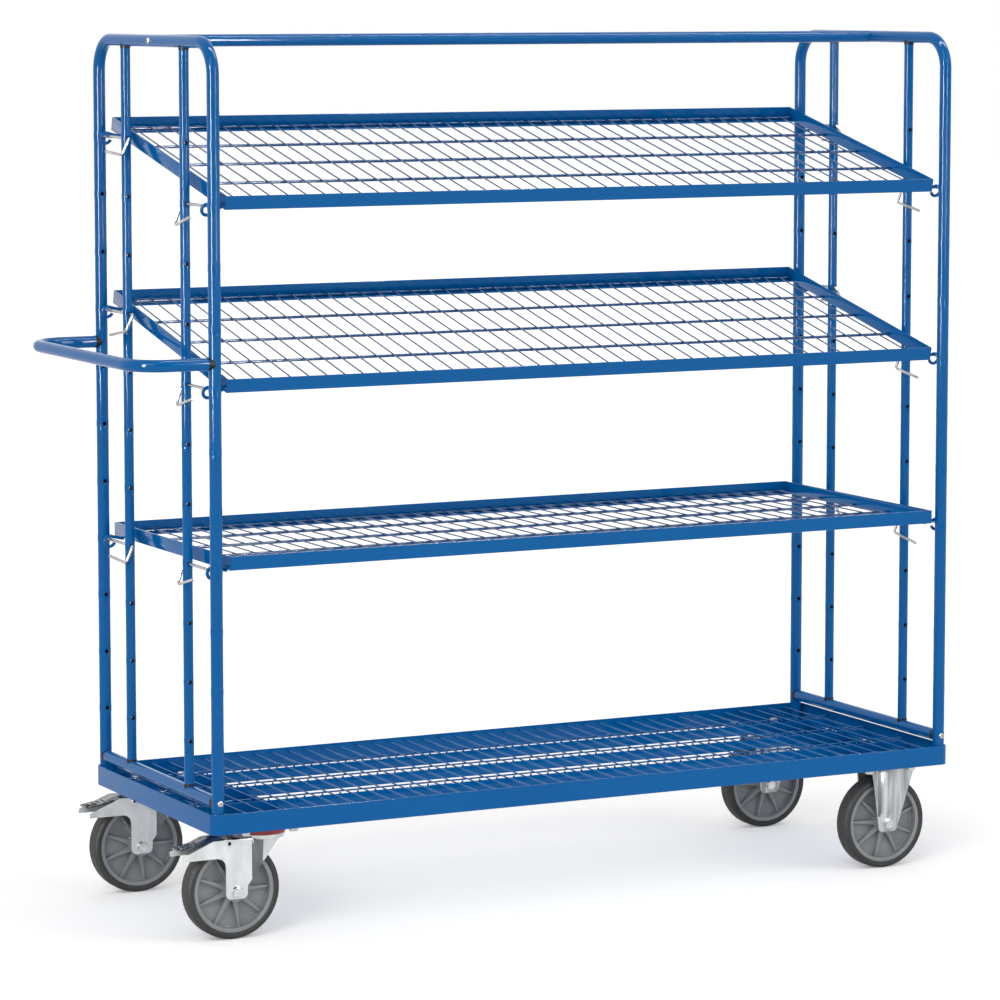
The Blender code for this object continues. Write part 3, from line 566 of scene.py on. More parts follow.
# Shelves. Each is a tray of two angles and two flat end bars, welded at its corners, with a
# welded mesh lying on the angles' legs. Four hooks of thick wire under the ends hang it on its
# pins. The two upper shelves lean to the front, the lowest lies level.
shelf_half_length = 0.8186
shelf_half_depth = 0.306
shelf_middle_y = -0.265
rail_low, rail_high = 0.006, 0.034
rail_leg = 0.028
rail_steel = 0.003
hook_x = 0.8456
hook_radius = 0.011
hook_wire = 0.0035
hook_begin = 18
hook_sweep = 285
front_hook_y = 2 * shelf_middle_y - 0.014
shelf_wires = 40
shelf_rod_radius = 0.003
rod_rows = (-0.2885, -0.140, 0, 0.140, 0.2885)
shelf_wire_z = 0.0172
mesh_gap = 0.0003
shelf_x = 0.0775
rear_eye_y = 0.265
rear_heights = {1: 1.588, 2: 1.228, 3: 0.748}
steep = math.asin(0.120 / 0.530)
shelf_lean = {1: steep, 2: steep, 3: 0.0}
eye_drop = {1: 0.0039, 2: 0.0039, 3: 0.0042}


def shelf_angle(edge, inward):
    """An angle along one long side: a leg flat at the bottom and a flange up from its outer edge."""
    middle = (0, edge + inward * rail_leg / 2, rail_low + rail_steel / 2)
    size = (2 * shelf_half_length - rail_steel, rail_leg, rail_steel)
    made = open_block("shelf_angle", middle, size)
    scored([edge + inward * rail_steel], (0, 1, 0))
    pick(made, "FACE", lambda co, normal: normal.z > 0.9 and abs(co.y - edge) < rail_steel)
    flange = (0, 0, rail_high - rail_low - rail_steel)
    bpy.ops.mesh.extrude_region_move(TRANSFORM_OT_translate={"value": flange})
    bpy.ops.object.mode_set(mode="OBJECT")
    closed_up(made)
    eased(made, 0.0009, 2, 40)
    return closed_up(made, 30)


front_y, rear_y = shelf_middle_y - shelf_half_depth, shelf_middle_y + shelf_half_depth
angles = [shelf_angle(front_y, 1), shelf_angle(rear_y, -1)]
ends = [
    folded_box("end_bar", (x, front_y, rail_low), (x + rail_steel, rear_y, rail_high), 0.0006)
    for x in (-shelf_half_length, shelf_half_length - rail_steel)
]
hooks = []
for out in (-1, 1):
    for y in (front_hook_y, 0):
        centre = Vector((out * hook_x, y, 0))
        begin = math.radians(hook_begin)
        at = centre + Vector((-out * math.cos(begin), 0, -math.sin(begin))) * hook_radius
        way = Vector((out * math.sin(begin), 0, -math.cos(begin)))
        hook = open_disc("hook", 16, hook_wire, at, way)
        bpy.ops.mesh.spin(steps=24, angle=math.radians(hook_sweep), center=centre, axis=(0, out, 0))
        past = math.radians(hook_begin + hook_sweep - 270)
        reach = hook_x - shelf_half_length + 0.004 - hook_radius * math.sin(past)
        rise = rail_low - hook_wire + 0.001 - hook_radius * math.cos(past)
        bpy.ops.mesh.extrude_region_move(TRANSFORM_OT_translate={"value": (-out * reach, 0, rise)})
        bpy.ops.object.mode_set(mode="OBJECT")
        hooks.append(closed_up(hook))
tray = joined("tray", *angles, *ends, *hooks)
# Painted shade: a darker copy of the blue coat for the thin shelf wires, which wear the same coat as the
# frame but are given a darker colour.
painted_shade_wire_coat = new_finish("painted_shade_wire_coat", (0.0004, 0.060, 0.200), 0.10, sheen_level=0.35)
vary_colour(painted_shade_wire_coat, cloudy(painted_shade_wire_coat, 12), (0.0003, 0.052, 0.180), (0.0006, 0.068, 0.220))
vary_gloss(painted_shade_wire_coat, cloudy(painted_shade_wire_coat, 20), 0.08, 0.14)
panel = welded_mesh(
    "panel", Vector((0, shelf_middle_y, 0)), shelf_half_length - rail_steel - mesh_gap,
    shelf_half_depth - rail_steel - mesh_gap, shelf_wires, shelf_rod_radius, rod_rows, shelf_wire_z,
)
for number, height in rear_heights.items():
    eye = (shelf_x, rear_eye_y, height - eye_drop[number])
    place = Matrix.Translation(eye) @ Matrix.Rotation(shelf_lean[number], 4, "X")
    made = copied(tray, f"shelf_{number}_tray", place)
    fitted(made, f"shelf_{number}", "blue_paint", blue_coat, f"shelf_{number}_frame")
    made = copied(panel, f"shelf_{number}_mesh", place)
    fitted(made, f"shelf_{number}", "blue_paint", painted_shade_wire_coat, f"shelf_{number}_grid")
bpy.data.objects.remove(tray)
bpy.data.objects.remove(panel)


# Locking pins. Bent from 6 mm zinc-plated wire: the straight shank goes through the inner post
# and the shelf's hook into the corner post, and the tail is bent down and back as a grip.
pin_radius = 0.003
pin_tip = 0.2926
pin_head = 0.1375
pin_step = 0.0155
pin_return = 0.088
pin_bend = 0.008
# One pin sits a little farther out than the others, its tail hanging lower.
pulled_pin = ("left", "rear", 2)
pulled_head = -0.012
pulled_lift = -0.014
bright_zinc = new_finish("bright_zinc", (0.66, 0.685, 0.69), 0.32, 0.55)
vary_colour(bright_zinc, cloudy(bright_zinc, 14, 3.0, (3, 3, 1)), (0.56, 0.585, 0.595), (0.73, 0.75, 0.75))
vary_gloss(bright_zinc, cloudy(bright_zinc, 30, 3.0, (4, 4, 1)), 0.28, 0.38)
texture_surface(bright_zinc, cloudy(bright_zinc, 200), 0.00001, 0.2)
wire_zinc = new_finish("zinc_wire", (0.42, 0.42, 0.405), 0.24, 1.0)
vary_colour(wire_zinc, cloudy(wire_zinc, 40, 3.0), (0.32, 0.32, 0.305), (0.52, 0.52, 0.505))
vary_gloss(wire_zinc, cloudy(wire_zinc, 60), 0.18, 0.32)
front_heights = {1: 1.468, 2: 1.108, 3: 0.748}
# Each corner's grip: which way its tail steps along X, how far it drops, how far it rises again.
grips = {
    ("left", "rear"): (-1, 0.034, 0.004), ("left", "front"): (-1, 0.044, 0.022),
    ("right", "rear"): (1, 0.034, 0.000), ("right", "front"): (-1, 0.037, -0.014),
}
for side in ("left", "right"):
    for row, towards, heights in (("rear", 1, rear_heights), ("front", -1, front_heights)):
        for number, height in heights.items():
            x = post_x[side]
            out, drop, lift = grips[side, row]
            head = towards * pin_head
            if (side, row, number) == pulled_pin:
                head += pulled_head
                lift = pulled_lift
            corners = [
                (x, towards * pin_tip, height),
                (x, head, height),
                (x + out * pin_step, head, height - drop),
                (x + out * pin_step, head + towards * pin_return, height - drop + lift),
            ]
            pin = drawn_tube(f"{side}_{row}_pin_{number}", corners, pin_bend, pin_radius, 16, 7)
            eased(pin, 0.0007, 2, 60)
            closed_up(pin, 30)
            name = f"pin_{number}_{side}_{row}"
            fitted(pin, name, "zinc", wire_zinc, name)


# Castor plates, seals and bolts. Each castor has a zinc plate bolted up against its channel,
# and the swivel ones a red plastic ring that keeps dust out of the ball race.
plate_low = 0.2224
bolt_spot = Vector((0.0525, 0.040))
bolt_seat = 0.2297
bolt_across = 0.016
bolt_height, nut_height = 0.0055, 0.007
washer_height = 0.0015
fixed_inset = 0.1156


def bolt(name, place, way, across, height, washer):
    """A hexagon head or nut with chamfered corners, on a washer."""
    place, way = Vector(place), Vector(way)
    disc = drawn_tube("washer", [place, place + way * washer], 0, across * 0.62, 24)
    eased(disc, washer * 0.3, 2, 60)
    closed_up(disc, 30)
    corner_radius = across / 2 / math.cos(math.pi / 6)
    head = round_bar(name, 6, corner_radius, height, place + way * (washer + height / 2), turned_to(way))
    into_edit(head)
    pick(head, "FACE", lambda co, normal: normal.dot(way) > 0.9)
    bpy.ops.mesh.inset(thickness=across * 0.07)
    bpy.ops.transform.translate(value=way * height * 0.08)
    bpy.ops.mesh.inset(thickness=across * 0.14)
    bpy.ops.transform.translate(value=-way * height * 0.05)
    bpy.ops.object.mode_set(mode="OBJECT")
    eased(head, 0.0004, 2, 25)
    return joined(name, closed_up(head, 30), disc)


for row in ("front", "rear"):
    low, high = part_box(f"swivel_plate_{row}")
    plate = folded_box(f"{row}_swivel_plate", low, high, 0.0009)
    fitted(plate, "frame", "zinc", bright_zinc, f"swivel_plate_{row}")
castor_spots = {}
for row in ("front", "rear"):
    for kind in ("swivel", "fixed"):
        low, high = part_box(f"swivel_seal_{row}" if kind == "swivel" else f"fixed_fork_{row}")
        middle = (low + high) / 2
        if kind == "fixed":
            middle.x = post_x["right"] - fixed_inset
        castor_spots[kind, row] = Vector((middle.x, middle.y, 0))
bolts = []
for spot in castor_spots.values():
    for along in (-1, 1):
        for across in (-1, 1):
            x, y = spot.x + along * bolt_spot.x, spot.y + across * bolt_spot.y
            top, bottom = (x, y, bolt_seat), (x, y, plate_low)
            bolts.append(bolt("castor_bolt", top, (0, 0, 1), bolt_across, bolt_height, washer_height))
            bolts.append(bolt("castor_nut", bottom, (0, 0, -1), bolt_across, nut_height, washer_height))
fitted(joined("castor_bolts", *bolts), "frame", "zinc", bright_zinc)

red_plastic = new_finish("red_plastic", (0.27, 0.008, 0.003), 0.38)
vary_colour(red_plastic, cloudy(red_plastic, 40), (0.23, 0.007, 0.003), (0.31, 0.011, 0.004))
vary_gloss(red_plastic, cloudy(red_plastic, 90), 0.30, 0.45)
texture_surface(red_plastic, cloudy(red_plastic, 900), 0.00003, 0.4)
seal_width = 0.006
for row in ("front", "rear"):
    low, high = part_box(f"swivel_seal_{row}")
    spot = castor_spots["swivel", row]
    place = (spot.x, spot.y, (low.z + high.z) / 2)
    seal = round_bar(f"{row}_dust_seal", 64, (high.y - low.y) / 2, high.z - low.z, place)
    into_edit(seal)
    pick(seal, "FACE", lambda co, normal: abs(normal.z) > 0.9)
    bpy.ops.mesh.inset(thickness=seal_width)
    bpy.ops.mesh.bridge_edge_loops()
    pick(seal, "EDGE", lambda co, way: abs(way.z) < 0.1 and (co - spot).xy.length > 0.04)
    bpy.ops.mesh.bevel(offset=0.0022, segments=4)
    bpy.ops.object.mode_set(mode="OBJECT")
    fitted(closed_up(seal, 30), "frame", "red_plastic", red_plastic, f"swivel_seal_{row}")


# Forks. Pressed from 3 mm steel and zinc plated. The swivel fork hangs from a turned race, its
# legs carry a sunk band behind the axle and two wings for the brake. The fixed fork is welded
# to its own plate, its legs tapering to the axle with a raised panel along the middle.
castor_trail = 0.069
axle_x = {
    "swivel": castor_spots["swivel", "front"].x - castor_trail,
    "fixed": castor_spots["fixed", "front"].x,
}
axle_z = 0.100


def from_node(name, node):
    """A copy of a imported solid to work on, its loose triangles merged into clean faces."""
    made = bpy.data.objects.new(name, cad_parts[node].data.copy())
    bpy.context.scene.collection.objects.link(made)
    alone(made)
    bpy.ops.object.mode_set(mode="EDIT")
    bpy.ops.mesh.select_all(action="SELECT")
    bpy.ops.mesh.remove_doubles(threshold=0.00002)
    bpy.ops.mesh.dissolve_limited(angle_limit=math.radians(2))
    bpy.ops.object.mode_set(mode="OBJECT")
    return made


band_start, band_end = axle_x["swivel"] + 0.033, axle_x["swivel"] + 0.058
band_slope = 0.003
band_depth = 0.0035
band_top, shade_top = 0.2015, 0.203
leg_inside, shade_inside = 0.029, 0.024
steep_slope, gentle_slope = 0.006, 0.010
panel_start, panel_end = axle_x["fixed"] - 0.0265, axle_x["fixed"] + 0.0120
panel_low, panel_high = axle_z + 0.016, axle_z + 0.116
panel_columns = (panel_start, panel_start + steep_slope, panel_end - gentle_slope, panel_end)
panel_levels = (panel_low, panel_low + gentle_slope, panel_high - steep_slope, panel_high)
panel_height = 0.004
slack = 0.001
pivot = Vector((axle_x["swivel"] - 0.017, 0, 0.199))
rivet_radius = 0.0062
rivet_height, rivet_crown = 0.0022, 0.0008
rivet_step, rivet_depth = 0.0012, 0.0026
rivet_hole = 0.0041
rivet_seat = 0.0338
# Painted shade: a dark copy of the zinc that stands for the shade and dark reflection on the swivel fork's
# sunk band and on the left-facing wall of the fixed fork's raised panel.
painted_shade_zinc = new_finish("painted_shade_zinc", (0.15, 0.158, 0.163), 0.40, 0.8)
vary_colour(painted_shade_zinc, cloudy(painted_shade_zinc, 20, 2.0, (3, 3, 1)), (0.12, 0.127, 0.132), (0.18, 0.188, 0.194))
vary_gloss(painted_shade_zinc, cloudy(painted_shade_zinc, 40), 0.32, 0.46)
texture_surface(painted_shade_zinc, cloudy(painted_shade_zinc, 300), 0.00002, 0.3)
# Partly rolled grain, partly painted reflection: long light and dark streaks down the fixed fork's legs
# stand for the streaks of reflection on its plating.
grain_and_sheen_zinc = new_finish("grain_and_sheen_zinc", (0.43, 0.455, 0.465), 0.32, 0.7)
grain_and_sheen_streaks = cloudy(grain_and_sheen_zinc, 55, 2.0, (2.2, 2.2, 0.15))
vary_colour(grain_and_sheen_zinc, grain_and_sheen_streaks, (0.24, 0.255, 0.265), (0.62, 0.65, 0.66))
vary_gloss(grain_and_sheen_zinc, cloudy(grain_and_sheen_zinc, 40, 2.0, (3, 3, 0.3)), 0.24, 0.40)
texture_surface(grain_and_sheen_zinc, cloudy(grain_and_sheen_zinc, 300), 0.00002, 0.3)


def ring_rivet(place, way):
    """A hollow rivet that carries a brake pedal."""
    place, way = Vector(place), Vector(way)
    rivet = drawn_tube("rivet", [place, place + way * rivet_height], 0, rivet_radius, 24)
    into_edit(rivet)
    pick(rivet, "FACE", lambda co, normal: normal.dot(way) > 0.9)
    bpy.ops.mesh.inset(thickness=rivet_step)
    bpy.ops.transform.translate(value=way * rivet_crown)
    bpy.ops.mesh.inset(thickness=rivet_step)
    bpy.ops.mesh.extrude_region_move(TRANSFORM_OT_translate={"value": -way * rivet_depth})
    bpy.ops.object.mode_set(mode="OBJECT")
    return closed_up(rivet, 40)


for row in ("front", "rear"):
    spot = castor_spots["swivel", row]
    fork = from_node(f"{row}_swivel_fork", f"swivel_fork_{row}")
    into_edit(fork)
    scored((band_start, band_start + band_slope, band_end, band_end + band_slope), (1, 0, 0))
    for way in (-1, 1):
        pick(fork, "VERT", lambda co: (
            band_start + slack < co.x < band_end + slack
            and co.z < band_top and (co.y - spot.y) * way > leg_inside
        ))
        bpy.ops.transform.translate(value=(0, -way * band_depth, 0))
    bpy.ops.object.mode_set(mode="OBJECT")
    closed_up(fork)
    eased(fork, 0.0009, 2, 30)
    rivets = [ring_rivet((pivot.x, spot.y + way * rivet_seat, pivot.z), (0, way, 0)) for way in (-1, 1)]
    fork = joined(fork.name, fork, *rivets)
    fitted(closed_up(fork, 32), f"swivel_{row}", "zinc", bright_zinc, f"swivel_fork_{row}")
    # Painted shade on the sunk band behind the axle.
    tinted(fork, painted_shade_zinc, lambda co, normal: (
        band_start < co.x < band_end + slack and co.z < shade_top
        and abs(co.y - spot.y) > shade_inside and normal.y * (co.y - spot.y) > 0
    ))
    # Painted shade in the rivet's hole, with the near-black bore finish.
    tinted(fork, painted_bore_shade, lambda co, normal: (
        math.hypot(co.x - pivot.x, co.z - pivot.z) < rivet_hole and abs(co.y - spot.y) > rivet_seat - 0.0003
    ))

    fork = from_node(f"{row}_fixed_fork", f"fixed_fork_{row}")
    into_edit(fork)
    scored(panel_columns, (1, 0, 0))
    scored(panel_levels, (0, 0, 1))
    for way in (-1, 1):
        pick(fork, "VERT", lambda co: (
            (co.y - spot.y) * way > leg_inside
            and panel_columns[1] - slack < co.x < panel_columns[2] + slack
            and panel_levels[1] - slack < co.z < panel_levels[2] + slack
        ))
        bpy.ops.transform.translate(value=(0, way * panel_height, 0))
    bpy.ops.object.mode_set(mode="OBJECT")
    closed_up(fork)
    eased(fork, 0.0008, 2, 50)
    fitted(closed_up(fork, 40), "frame", "zinc", grain_and_sheen_zinc, f"fixed_fork_{row}")
    # Painted shade on the left-facing wall of the raised panel.
    tinted(fork, painted_shade_zinc, lambda co, normal: (
        panel_start < co.x < panel_columns[1] and panel_low - 2 * slack < co.z < panel_high + 2 * slack
        and normal.x < -0.2 and normal.y * (co.y - spot.y) > 0
    ))


# Axle bolts. A hexagon head at one end and a lock nut at the other, outside the fork's legs.
leg_face = 0.034
axle_radius = 0.006
axle_past_head, axle_past_nut = 0.004, 0.009
head_across, head_height, head_washer = 0.019, 0.0062, 0.0013
washer_gap = 0.0003
polished_zinc = new_finish("polished_zinc", (0.60, 0.61, 0.61), 0.20, 1.0)
vary_colour(polished_zinc, cloudy(polished_zinc, 60), (0.52, 0.53, 0.53), (0.68, 0.69, 0.69))
vary_gloss(polished_zinc, cloudy(polished_zinc, 90), 0.14, 0.26)
for kind in ("swivel", "fixed"):
    for row in ("front", "rear"):
        y = castor_spots[kind, row].y
        x = axle_x[kind]
        ends = [(x, y - leg_face - axle_past_head, axle_z), (x, y + leg_face + axle_past_nut, axle_z)]
        rod = drawn_tube("axle", ends, 0, axle_radius, 24)
        seats = [(x, y + way * (leg_face + washer_gap), axle_z) for way in (-1, 1)]
        head = bolt("head", seats[0], (0, -1, 0), head_across, head_height, head_washer)
        nut = bolt("nut", seats[1], (0, 1, 0), head_across, head_height, head_washer)
        body = f"swivel_{row}" if kind == "swivel" else "frame"
        axle = joined(f"{row}_{kind}_axle_bolt", rod, head, nut)
        fitted(axle, body, "zinc", polished_zinc, f"{kind}_axle_{row}")


# Wheels. A grey plastic centre with nine tapering ribs between hub and ring, moulded in one,
# and a soft dark grey rubber tyre with rounded shoulders on it.
wheel_radius = 0.100
tyre_depth = 0.0132
tyre_half = 0.021
ring_half = 0.019
ring_depth = 0.0085
web_half = 0.003
hub_radius = 0.022
hub_half = 0.0305
hub_recess = 0.002
bore_radius = 0.0145
rib_count = 9
rib_depth, rib_width = 0.030, 0.012
rib_sunk, rib_extra = 0.002, 0.003
rib_taper = ((0.25, 0.72, 0.94), (0.5, 0.52, 0.86), (0.75, 0.42, 0.78), (1.0, 0.40, 0.72))
shoulder = 0.0085
wheel_turn = {"swivel": 0, "fixed": 22.5}
grey_plastic = new_finish("grey_plastic", (0.22, 0.235, 0.245), 0.36)
vary_colour(grey_plastic, cloudy(grey_plastic, 25), (0.195, 0.210, 0.220), (0.245, 0.260, 0.270))
vary_gloss(grey_plastic, cloudy(grey_plastic, 70), 0.34, 0.50)
texture_surface(grey_plastic, cloudy(grey_plastic, 1100), 0.00004, 0.5)
grey_rubber = new_finish("grey_rubber", (0.031, 0.031, 0.031), 0.55, sheen_level=0.30)
vary_colour(grey_rubber, cloudy(grey_rubber, 35, 5.0), (0.026, 0.026, 0.026), (0.037, 0.037, 0.037))
vary_gloss(grey_rubber, cloudy(grey_rubber, 120), 0.52, 0.74)
texture_surface(grey_rubber, cloudy(grey_rubber, 800, 4.0), 0.00008, 0.6)

flat_turn = (math.pi / 2, 0, 0)
centre = round_bar("wheel_centre", 96, wheel_radius - tyre_depth, 2 * ring_half, (0, 0, 0), flat_turn)
into_edit(centre)
for way in (-1, 1):
    pick(centre, "FACE", lambda co, normal: normal.y * way > 0.9)
    for inset, push in (
        (ring_depth, web_half - ring_half),
        (wheel_radius - tyre_depth - ring_depth - hub_radius, hub_half - web_half),
        (hub_radius - bore_radius, -hub_recess),
    ):
        bpy.ops.mesh.inset(thickness=inset)
        bpy.ops.mesh.extrude_region_move(TRANSFORM_OT_translate={"value": (0, way * push, 0)})
bpy.ops.object.mode_set(mode="OBJECT")
closed_up(centre)
eased(centre, 0.0012, 3, 40)
rib_end = wheel_radius - tyre_depth - ring_depth
rib_length = rib_end - hub_radius + rib_extra
rib_middle = (hub_radius - rib_sunk + rib_length / 2, 0, 0)
ribs = open_block("ribs", rib_middle, (rib_length, rib_depth, rib_width))
scored([hub_radius + rib_length * share for share, wide, deep in rib_taper[:-1]], (1, 0, 0))
for share, wide, deep in rib_taper:
    x = hub_radius + rib_length * share
    pick(ribs, "VERT", lambda co: abs(co.x - x) < rib_length * 0.1)
    bpy.ops.transform.resize(value=(1, deep, wide), center_override=(x, 0, 0))
bpy.ops.mesh.select_all(action="SELECT")
bpy.ops.mesh.spin(steps=rib_count, dupli=True, angle=2 * math.pi, center=(0, 0, 0), axis=(0, 1, 0))
bpy.ops.object.mode_set(mode="OBJECT")
closed_up(ribs)
eased(ribs, 0.0011, 2, 40)
wheel_centre = closed_up(joined("wheel_centre", closed_up(centre), ribs), 35)

tyre = round_bar("tyre", 128, wheel_radius, 2 * tyre_half, (0, 0, 0), flat_turn)
into_edit(tyre)
pick(tyre, "FACE", lambda co, normal: abs(normal.y) > 0.9)
bpy.ops.mesh.inset(thickness=tyre_depth)
bpy.ops.mesh.bridge_edge_loops()
pick(tyre, "EDGE", lambda co, way: abs(way.y) < 0.1 and co.length > wheel_radius * 0.99)
bpy.ops.mesh.bevel(offset=shoulder, segments=7)
inner_reach = wheel_radius - tyre_depth + tyre_half * 0.3
pick(tyre, "EDGE", lambda co, way: (
    abs(way.y) < 0.1 and co.length < inner_reach and abs(co.y) > tyre_half * 0.9
))
bpy.ops.mesh.bevel(offset=0.0012, segments=3)
bpy.ops.object.mode_set(mode="OBJECT")
closed_up(tyre, 35)
for kind, turn in wheel_turn.items():
    for row in ("front", "rear"):
        place = Matrix.Translation((axle_x[kind], castor_spots[kind, row].y, axle_z))
        place = place @ Matrix.Rotation(math.radians(turn), 4, "Y")
        body = f"{kind}_wheel_{row}"
        made = copied(wheel_centre, f"{row}_{kind}_wheel_centre", place)
        fitted(made, body, "grey_plastic", grey_plastic, f"{kind}_rim_{row}")
        made = copied(tyre, f"{row}_{kind}_tyre", place)
        fitted(made, body, "grey_rubber", grey_rubber, f"{kind}_tyre_{row}")
bpy.data.objects.remove(wheel_centre)
bpy.data.objects.remove(tyre)


# Brake pedals. A pressed step plate with ridges and slots between the fork's wings, plated, its
# colour painted dark as a painted reflection of dark surroundings, with a bent tongue at its end to lift it
# with the toe.
# Painted reflection: the plated steel's dark colour stands for the dark surroundings it reflects.
painted_dark_steel = new_finish("painted_dark_plated_steel", (0.10, 0.10, 0.105), 0.14, 1.0)
vary_colour(painted_dark_steel, cloudy(painted_dark_steel, 18, 3.0), (0.045, 0.045, 0.05), (0.20, 0.20, 0.205))
vary_gloss(painted_dark_steel, cloudy(painted_dark_steel, 40, 3.0), 0.09, 0.20)
texture_surface(painted_dark_steel, cloudy(painted_dark_steel, 90), 0.00004, 0.25)
tongue_radius, tongue_bend = 0.0017, 0.006
tongue_in, tongue_aside, tongue_up = 0.006, 0.010, 0.004
tongue_root = Vector((0.020, 0, 0.004))
tongue_end = Vector((-0.014, -0.001, 0.0065))
tongue_narrows = 0.0125
for row in ("front", "rear"):
    spot = castor_spots["swivel", row]
    low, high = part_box(f"brake_pedal_{row}")
    pedal = from_node(f"{row}_pedal", f"brake_pedal_{row}")
    closed_up(pedal)
    eased(pedal, 0.0008, 3, 30)
    tip = Vector((low.x + tongue_in, spot.y - tongue_aside, low.z + tongue_up))
    corners = [tip + tongue_root, tip, tip + tongue_end]
    tongue = drawn_tube("tongue", corners, tongue_bend, tongue_radius, 12, 4)
    into_edit(tongue)
    pick(tongue, "VERT", lambda co: co.x < tip.x - tongue_narrows)
    bpy.ops.transform.resize(value=(0.3, 0.3, 0.3), center_override=tip + tongue_end)
    bpy.ops.object.mode_set(mode="OBJECT")
    pedal = joined(pedal.name, pedal, tongue)
    fitted(closed_up(pedal, 32), f"pedal_{row}", "dark_steel", painted_dark_steel, f"brake_pedal_{row}")


# Screws. Zinc pan-head screws pass through the corner posts into the cross rails and through
# the top bars into the top rail.
screw_radius = 0.0062
screw_height = 0.0035
screw_seat = tube_radius - 0.0006


def pan_screw(place, way):
    """A domed head with a round recess for the driver."""
    place, way = Vector(place), Vector(way)
    head = drawn_tube("screw", [place, place + way * screw_height], 0, screw_radius, 28)
    into_edit(head)
    pick(head, "FACE", lambda co, normal: normal.dot(way) > 0.9)
    bpy.ops.mesh.bevel(offset=screw_height * 0.75, segments=5)
    pick(head, "FACE", lambda co, normal: normal.dot(way) > 0.99)
    bpy.ops.mesh.inset(thickness=screw_radius * 0.22)
    bpy.ops.mesh.extrude_region_move(TRANSFORM_OT_translate={"value": -way * screw_height * 0.6})
    bpy.ops.object.mode_set(mode="OBJECT")
    return closed_up(head, 40)


screws = []
for side, out in (("left", -1), ("right", 1)):
    x = post_x[side]
    for way in (-1, 1):
        screws.append(pan_screw((x, way * (post_y + screw_seat), cross_rail_z + 0.001), (0, way, 0)))
    screws.append(pan_screw((x + out * screw_seat, 0, top_bar_z), (out, 0, 0)))
fitted(joined("frame_screws", *screws), "frame", "zinc", wire_zinc)


# Floor, studio and camera. A white floor that keeps a soft shadow, two broad suns, four strip
# lamps that show only as reflections, a world that reflects darker on the camera's side, and
# the camera where the photograph was taken from.
floor_white = 0.22
diffuse_level = 0.68
near_level, far_level = 0.15, 1.2
near_y, far_y = -0.9, 0.5


def either_ray(tree, second):
    """1 for a ray from the camera or of the second kind, else 0."""
    ray = tree.nodes.new("ShaderNodeLightPath")
    either = tree.nodes.new("ShaderNodeMath")
    either.operation = "MAXIMUM"
    tree.links.new(ray.outputs["Is Camera Ray"], either.inputs[0])
    tree.links.new(ray.outputs[second], either.inputs[1])
    return either.outputs["Value"]


floor_finish = new_finish("white_floor", (0.985, 0.975, 0.96), 0.9, sheen_level=0.0)
nodes, links = floor_finish.node_tree.nodes, floor_finish.node_tree.links
shader = nodes["Principled BSDF"]
shader.inputs["Emission Color"].default_value = (1, 1, 1, 1)
paper_white = nodes.new("ShaderNodeMath")
paper_white.operation = "MULTIPLY"
paper_white.inputs[1].default_value = floor_white
links.new(either_ray(floor_finish.node_tree, "Is Glossy Ray"), paper_white.inputs[0])
links.new(paper_white.outputs["Value"], shader.inputs["Emission Strength"])
bpy.ops.object.select_all(action="DESELECT")
bpy.ops.mesh.primitive_plane_add(size=60)
floor = named("floor")
floor.data.materials.append(floor_finish)

world = bpy.data.worlds.new("studio")
bpy.context.scene.world = world
world.use_nodes = True
nodes, links = world.node_tree.nodes, world.node_tree.links
background = nodes["Background"]
background.inputs["Color"].default_value = (1, 1, 1, 1)
ray = nodes.new("ShaderNodeLightPath")
way_out = nodes.new("ShaderNodeTexCoord")
split = nodes.new("ShaderNodeSeparateXYZ")
links.new(way_out.outputs["Generated"], split.inputs["Vector"])
studio_depth = nodes.new("ShaderNodeMapRange")
studio_depth.inputs["From Min"].default_value = near_y
studio_depth.inputs["From Max"].default_value = far_y
studio_depth.inputs["To Min"].default_value = near_level
studio_depth.inputs["To Max"].default_value = far_level
links.new(split.outputs["Y"], studio_depth.inputs["Value"])
mirrored = nodes.new("ShaderNodeMix")
mirrored.inputs["A"].default_value = diffuse_level
links.new(ray.outputs["Is Glossy Ray"], mirrored.inputs["Factor"])
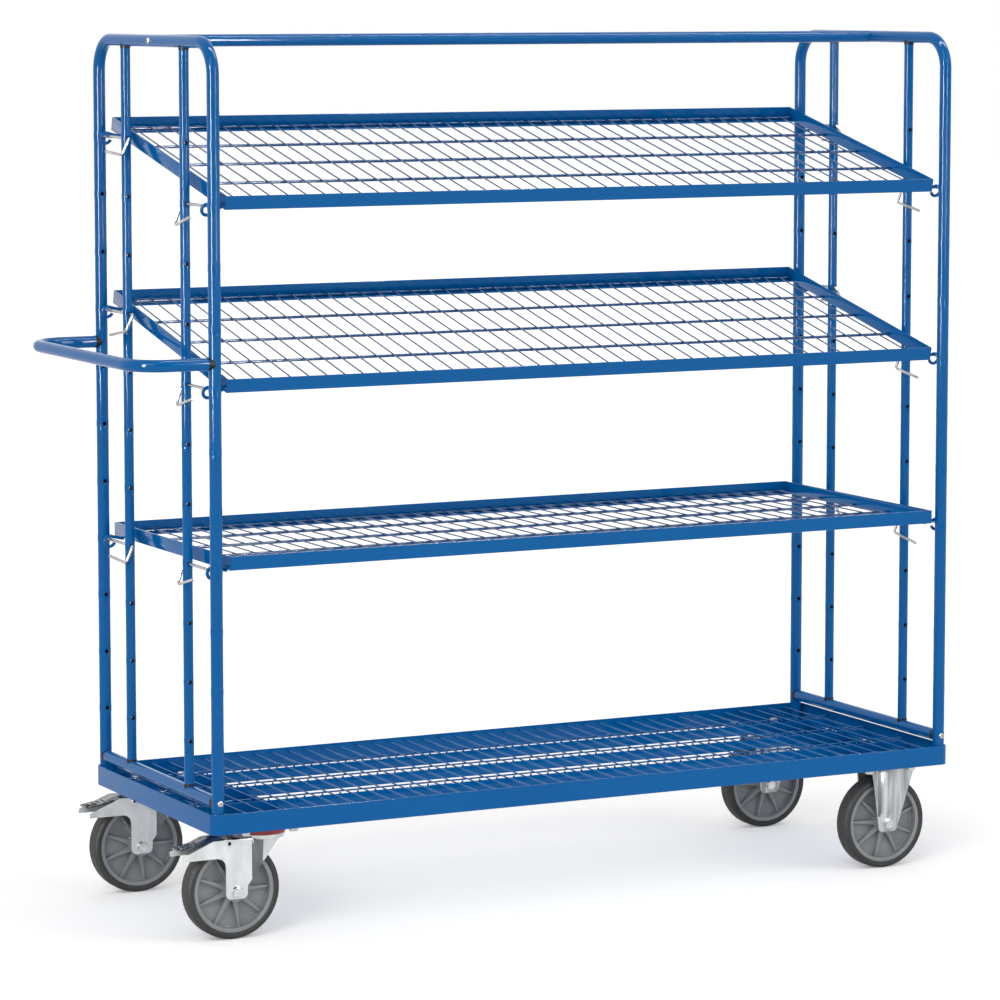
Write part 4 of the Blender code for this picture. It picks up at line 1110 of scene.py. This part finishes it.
links.new(studio_depth.outputs["Result"], mirrored.inputs["B"])
straight = nodes.new("ShaderNodeMix")
straight.inputs["B"].default_value = 1.0
links.new(either_ray(world.node_tree, "Is Transmission Ray"), straight.inputs["Factor"])
links.new(mirrored.outputs["Result"], straight.inputs["A"])
links.new(straight.outputs["Result"], background.inputs["Strength"])


def aimed(name, light, place, target):
    """Hang a lamp here and aim it at a point, out of the camera's sight."""
    lamp = bpy.data.objects.new(name, light)
    bpy.context.scene.collection.objects.link(lamp)
    lamp.location = place
    lamp.rotation_euler = (Vector(target) - Vector(place)).to_track_quat("-Z", "Y").to_euler()
    lamp.visible_camera = False
    return lamp


for name, place, strength, spread in (
    ("key", (-4.4, -3.9, 5.0), 0.95, 30),
    ("fill", (4.2, -3.8, 4.0), 0.42, 40),
):
    light = bpy.data.lights.new(name, "SUN")
    light.energy, light.angle = strength, math.radians(spread)
    aimed(name, light, place, (0, 0, 0.8))
for name, place, target, width, height, brightness in (
    ("left_strip", (-4.1, -1.9, 1.95), (0, 0, 1.95), 0.75, 2.6, 85),
    ("right_strip", (1.3, -4.6, 2.35), (0, 0, 2.35), 0.35, 2.6, 75),
    ("top_strip", (1.6, -0.6, 4.4), (1.6, 0, 1.8), 5.0, 0.35, 40),
    ("front_strip", (2.4, -4.8, 3.6), (2.4, 0, 1.8), 5.5, 0.20, 20),
):
    light = bpy.data.lights.new(name, "AREA")
    light.shape, light.size, light.size_y = "RECTANGLE", width, height
    light.energy = brightness * math.pi * width * height
    aimed(name, light, place, target).visible_diffuse = False

photo_camera = bpy.data.cameras.new("photo_camera")
photo_camera.lens = 152.25
photo_camera.shift_y = -0.06
photo_camera.clip_end = 200
viewer = bpy.data.objects.new("photo_camera", photo_camera)
bpy.context.scene.collection.objects.link(viewer)
viewer.location = (-4.019, -7.9124, 1.8971)
viewer.rotation_euler = (math.radians(90 - 6.129), 0, math.radians(-26.995))
bpy.context.scene.camera = viewer
bpy.context.scene.view_settings.view_transform = "Standard"
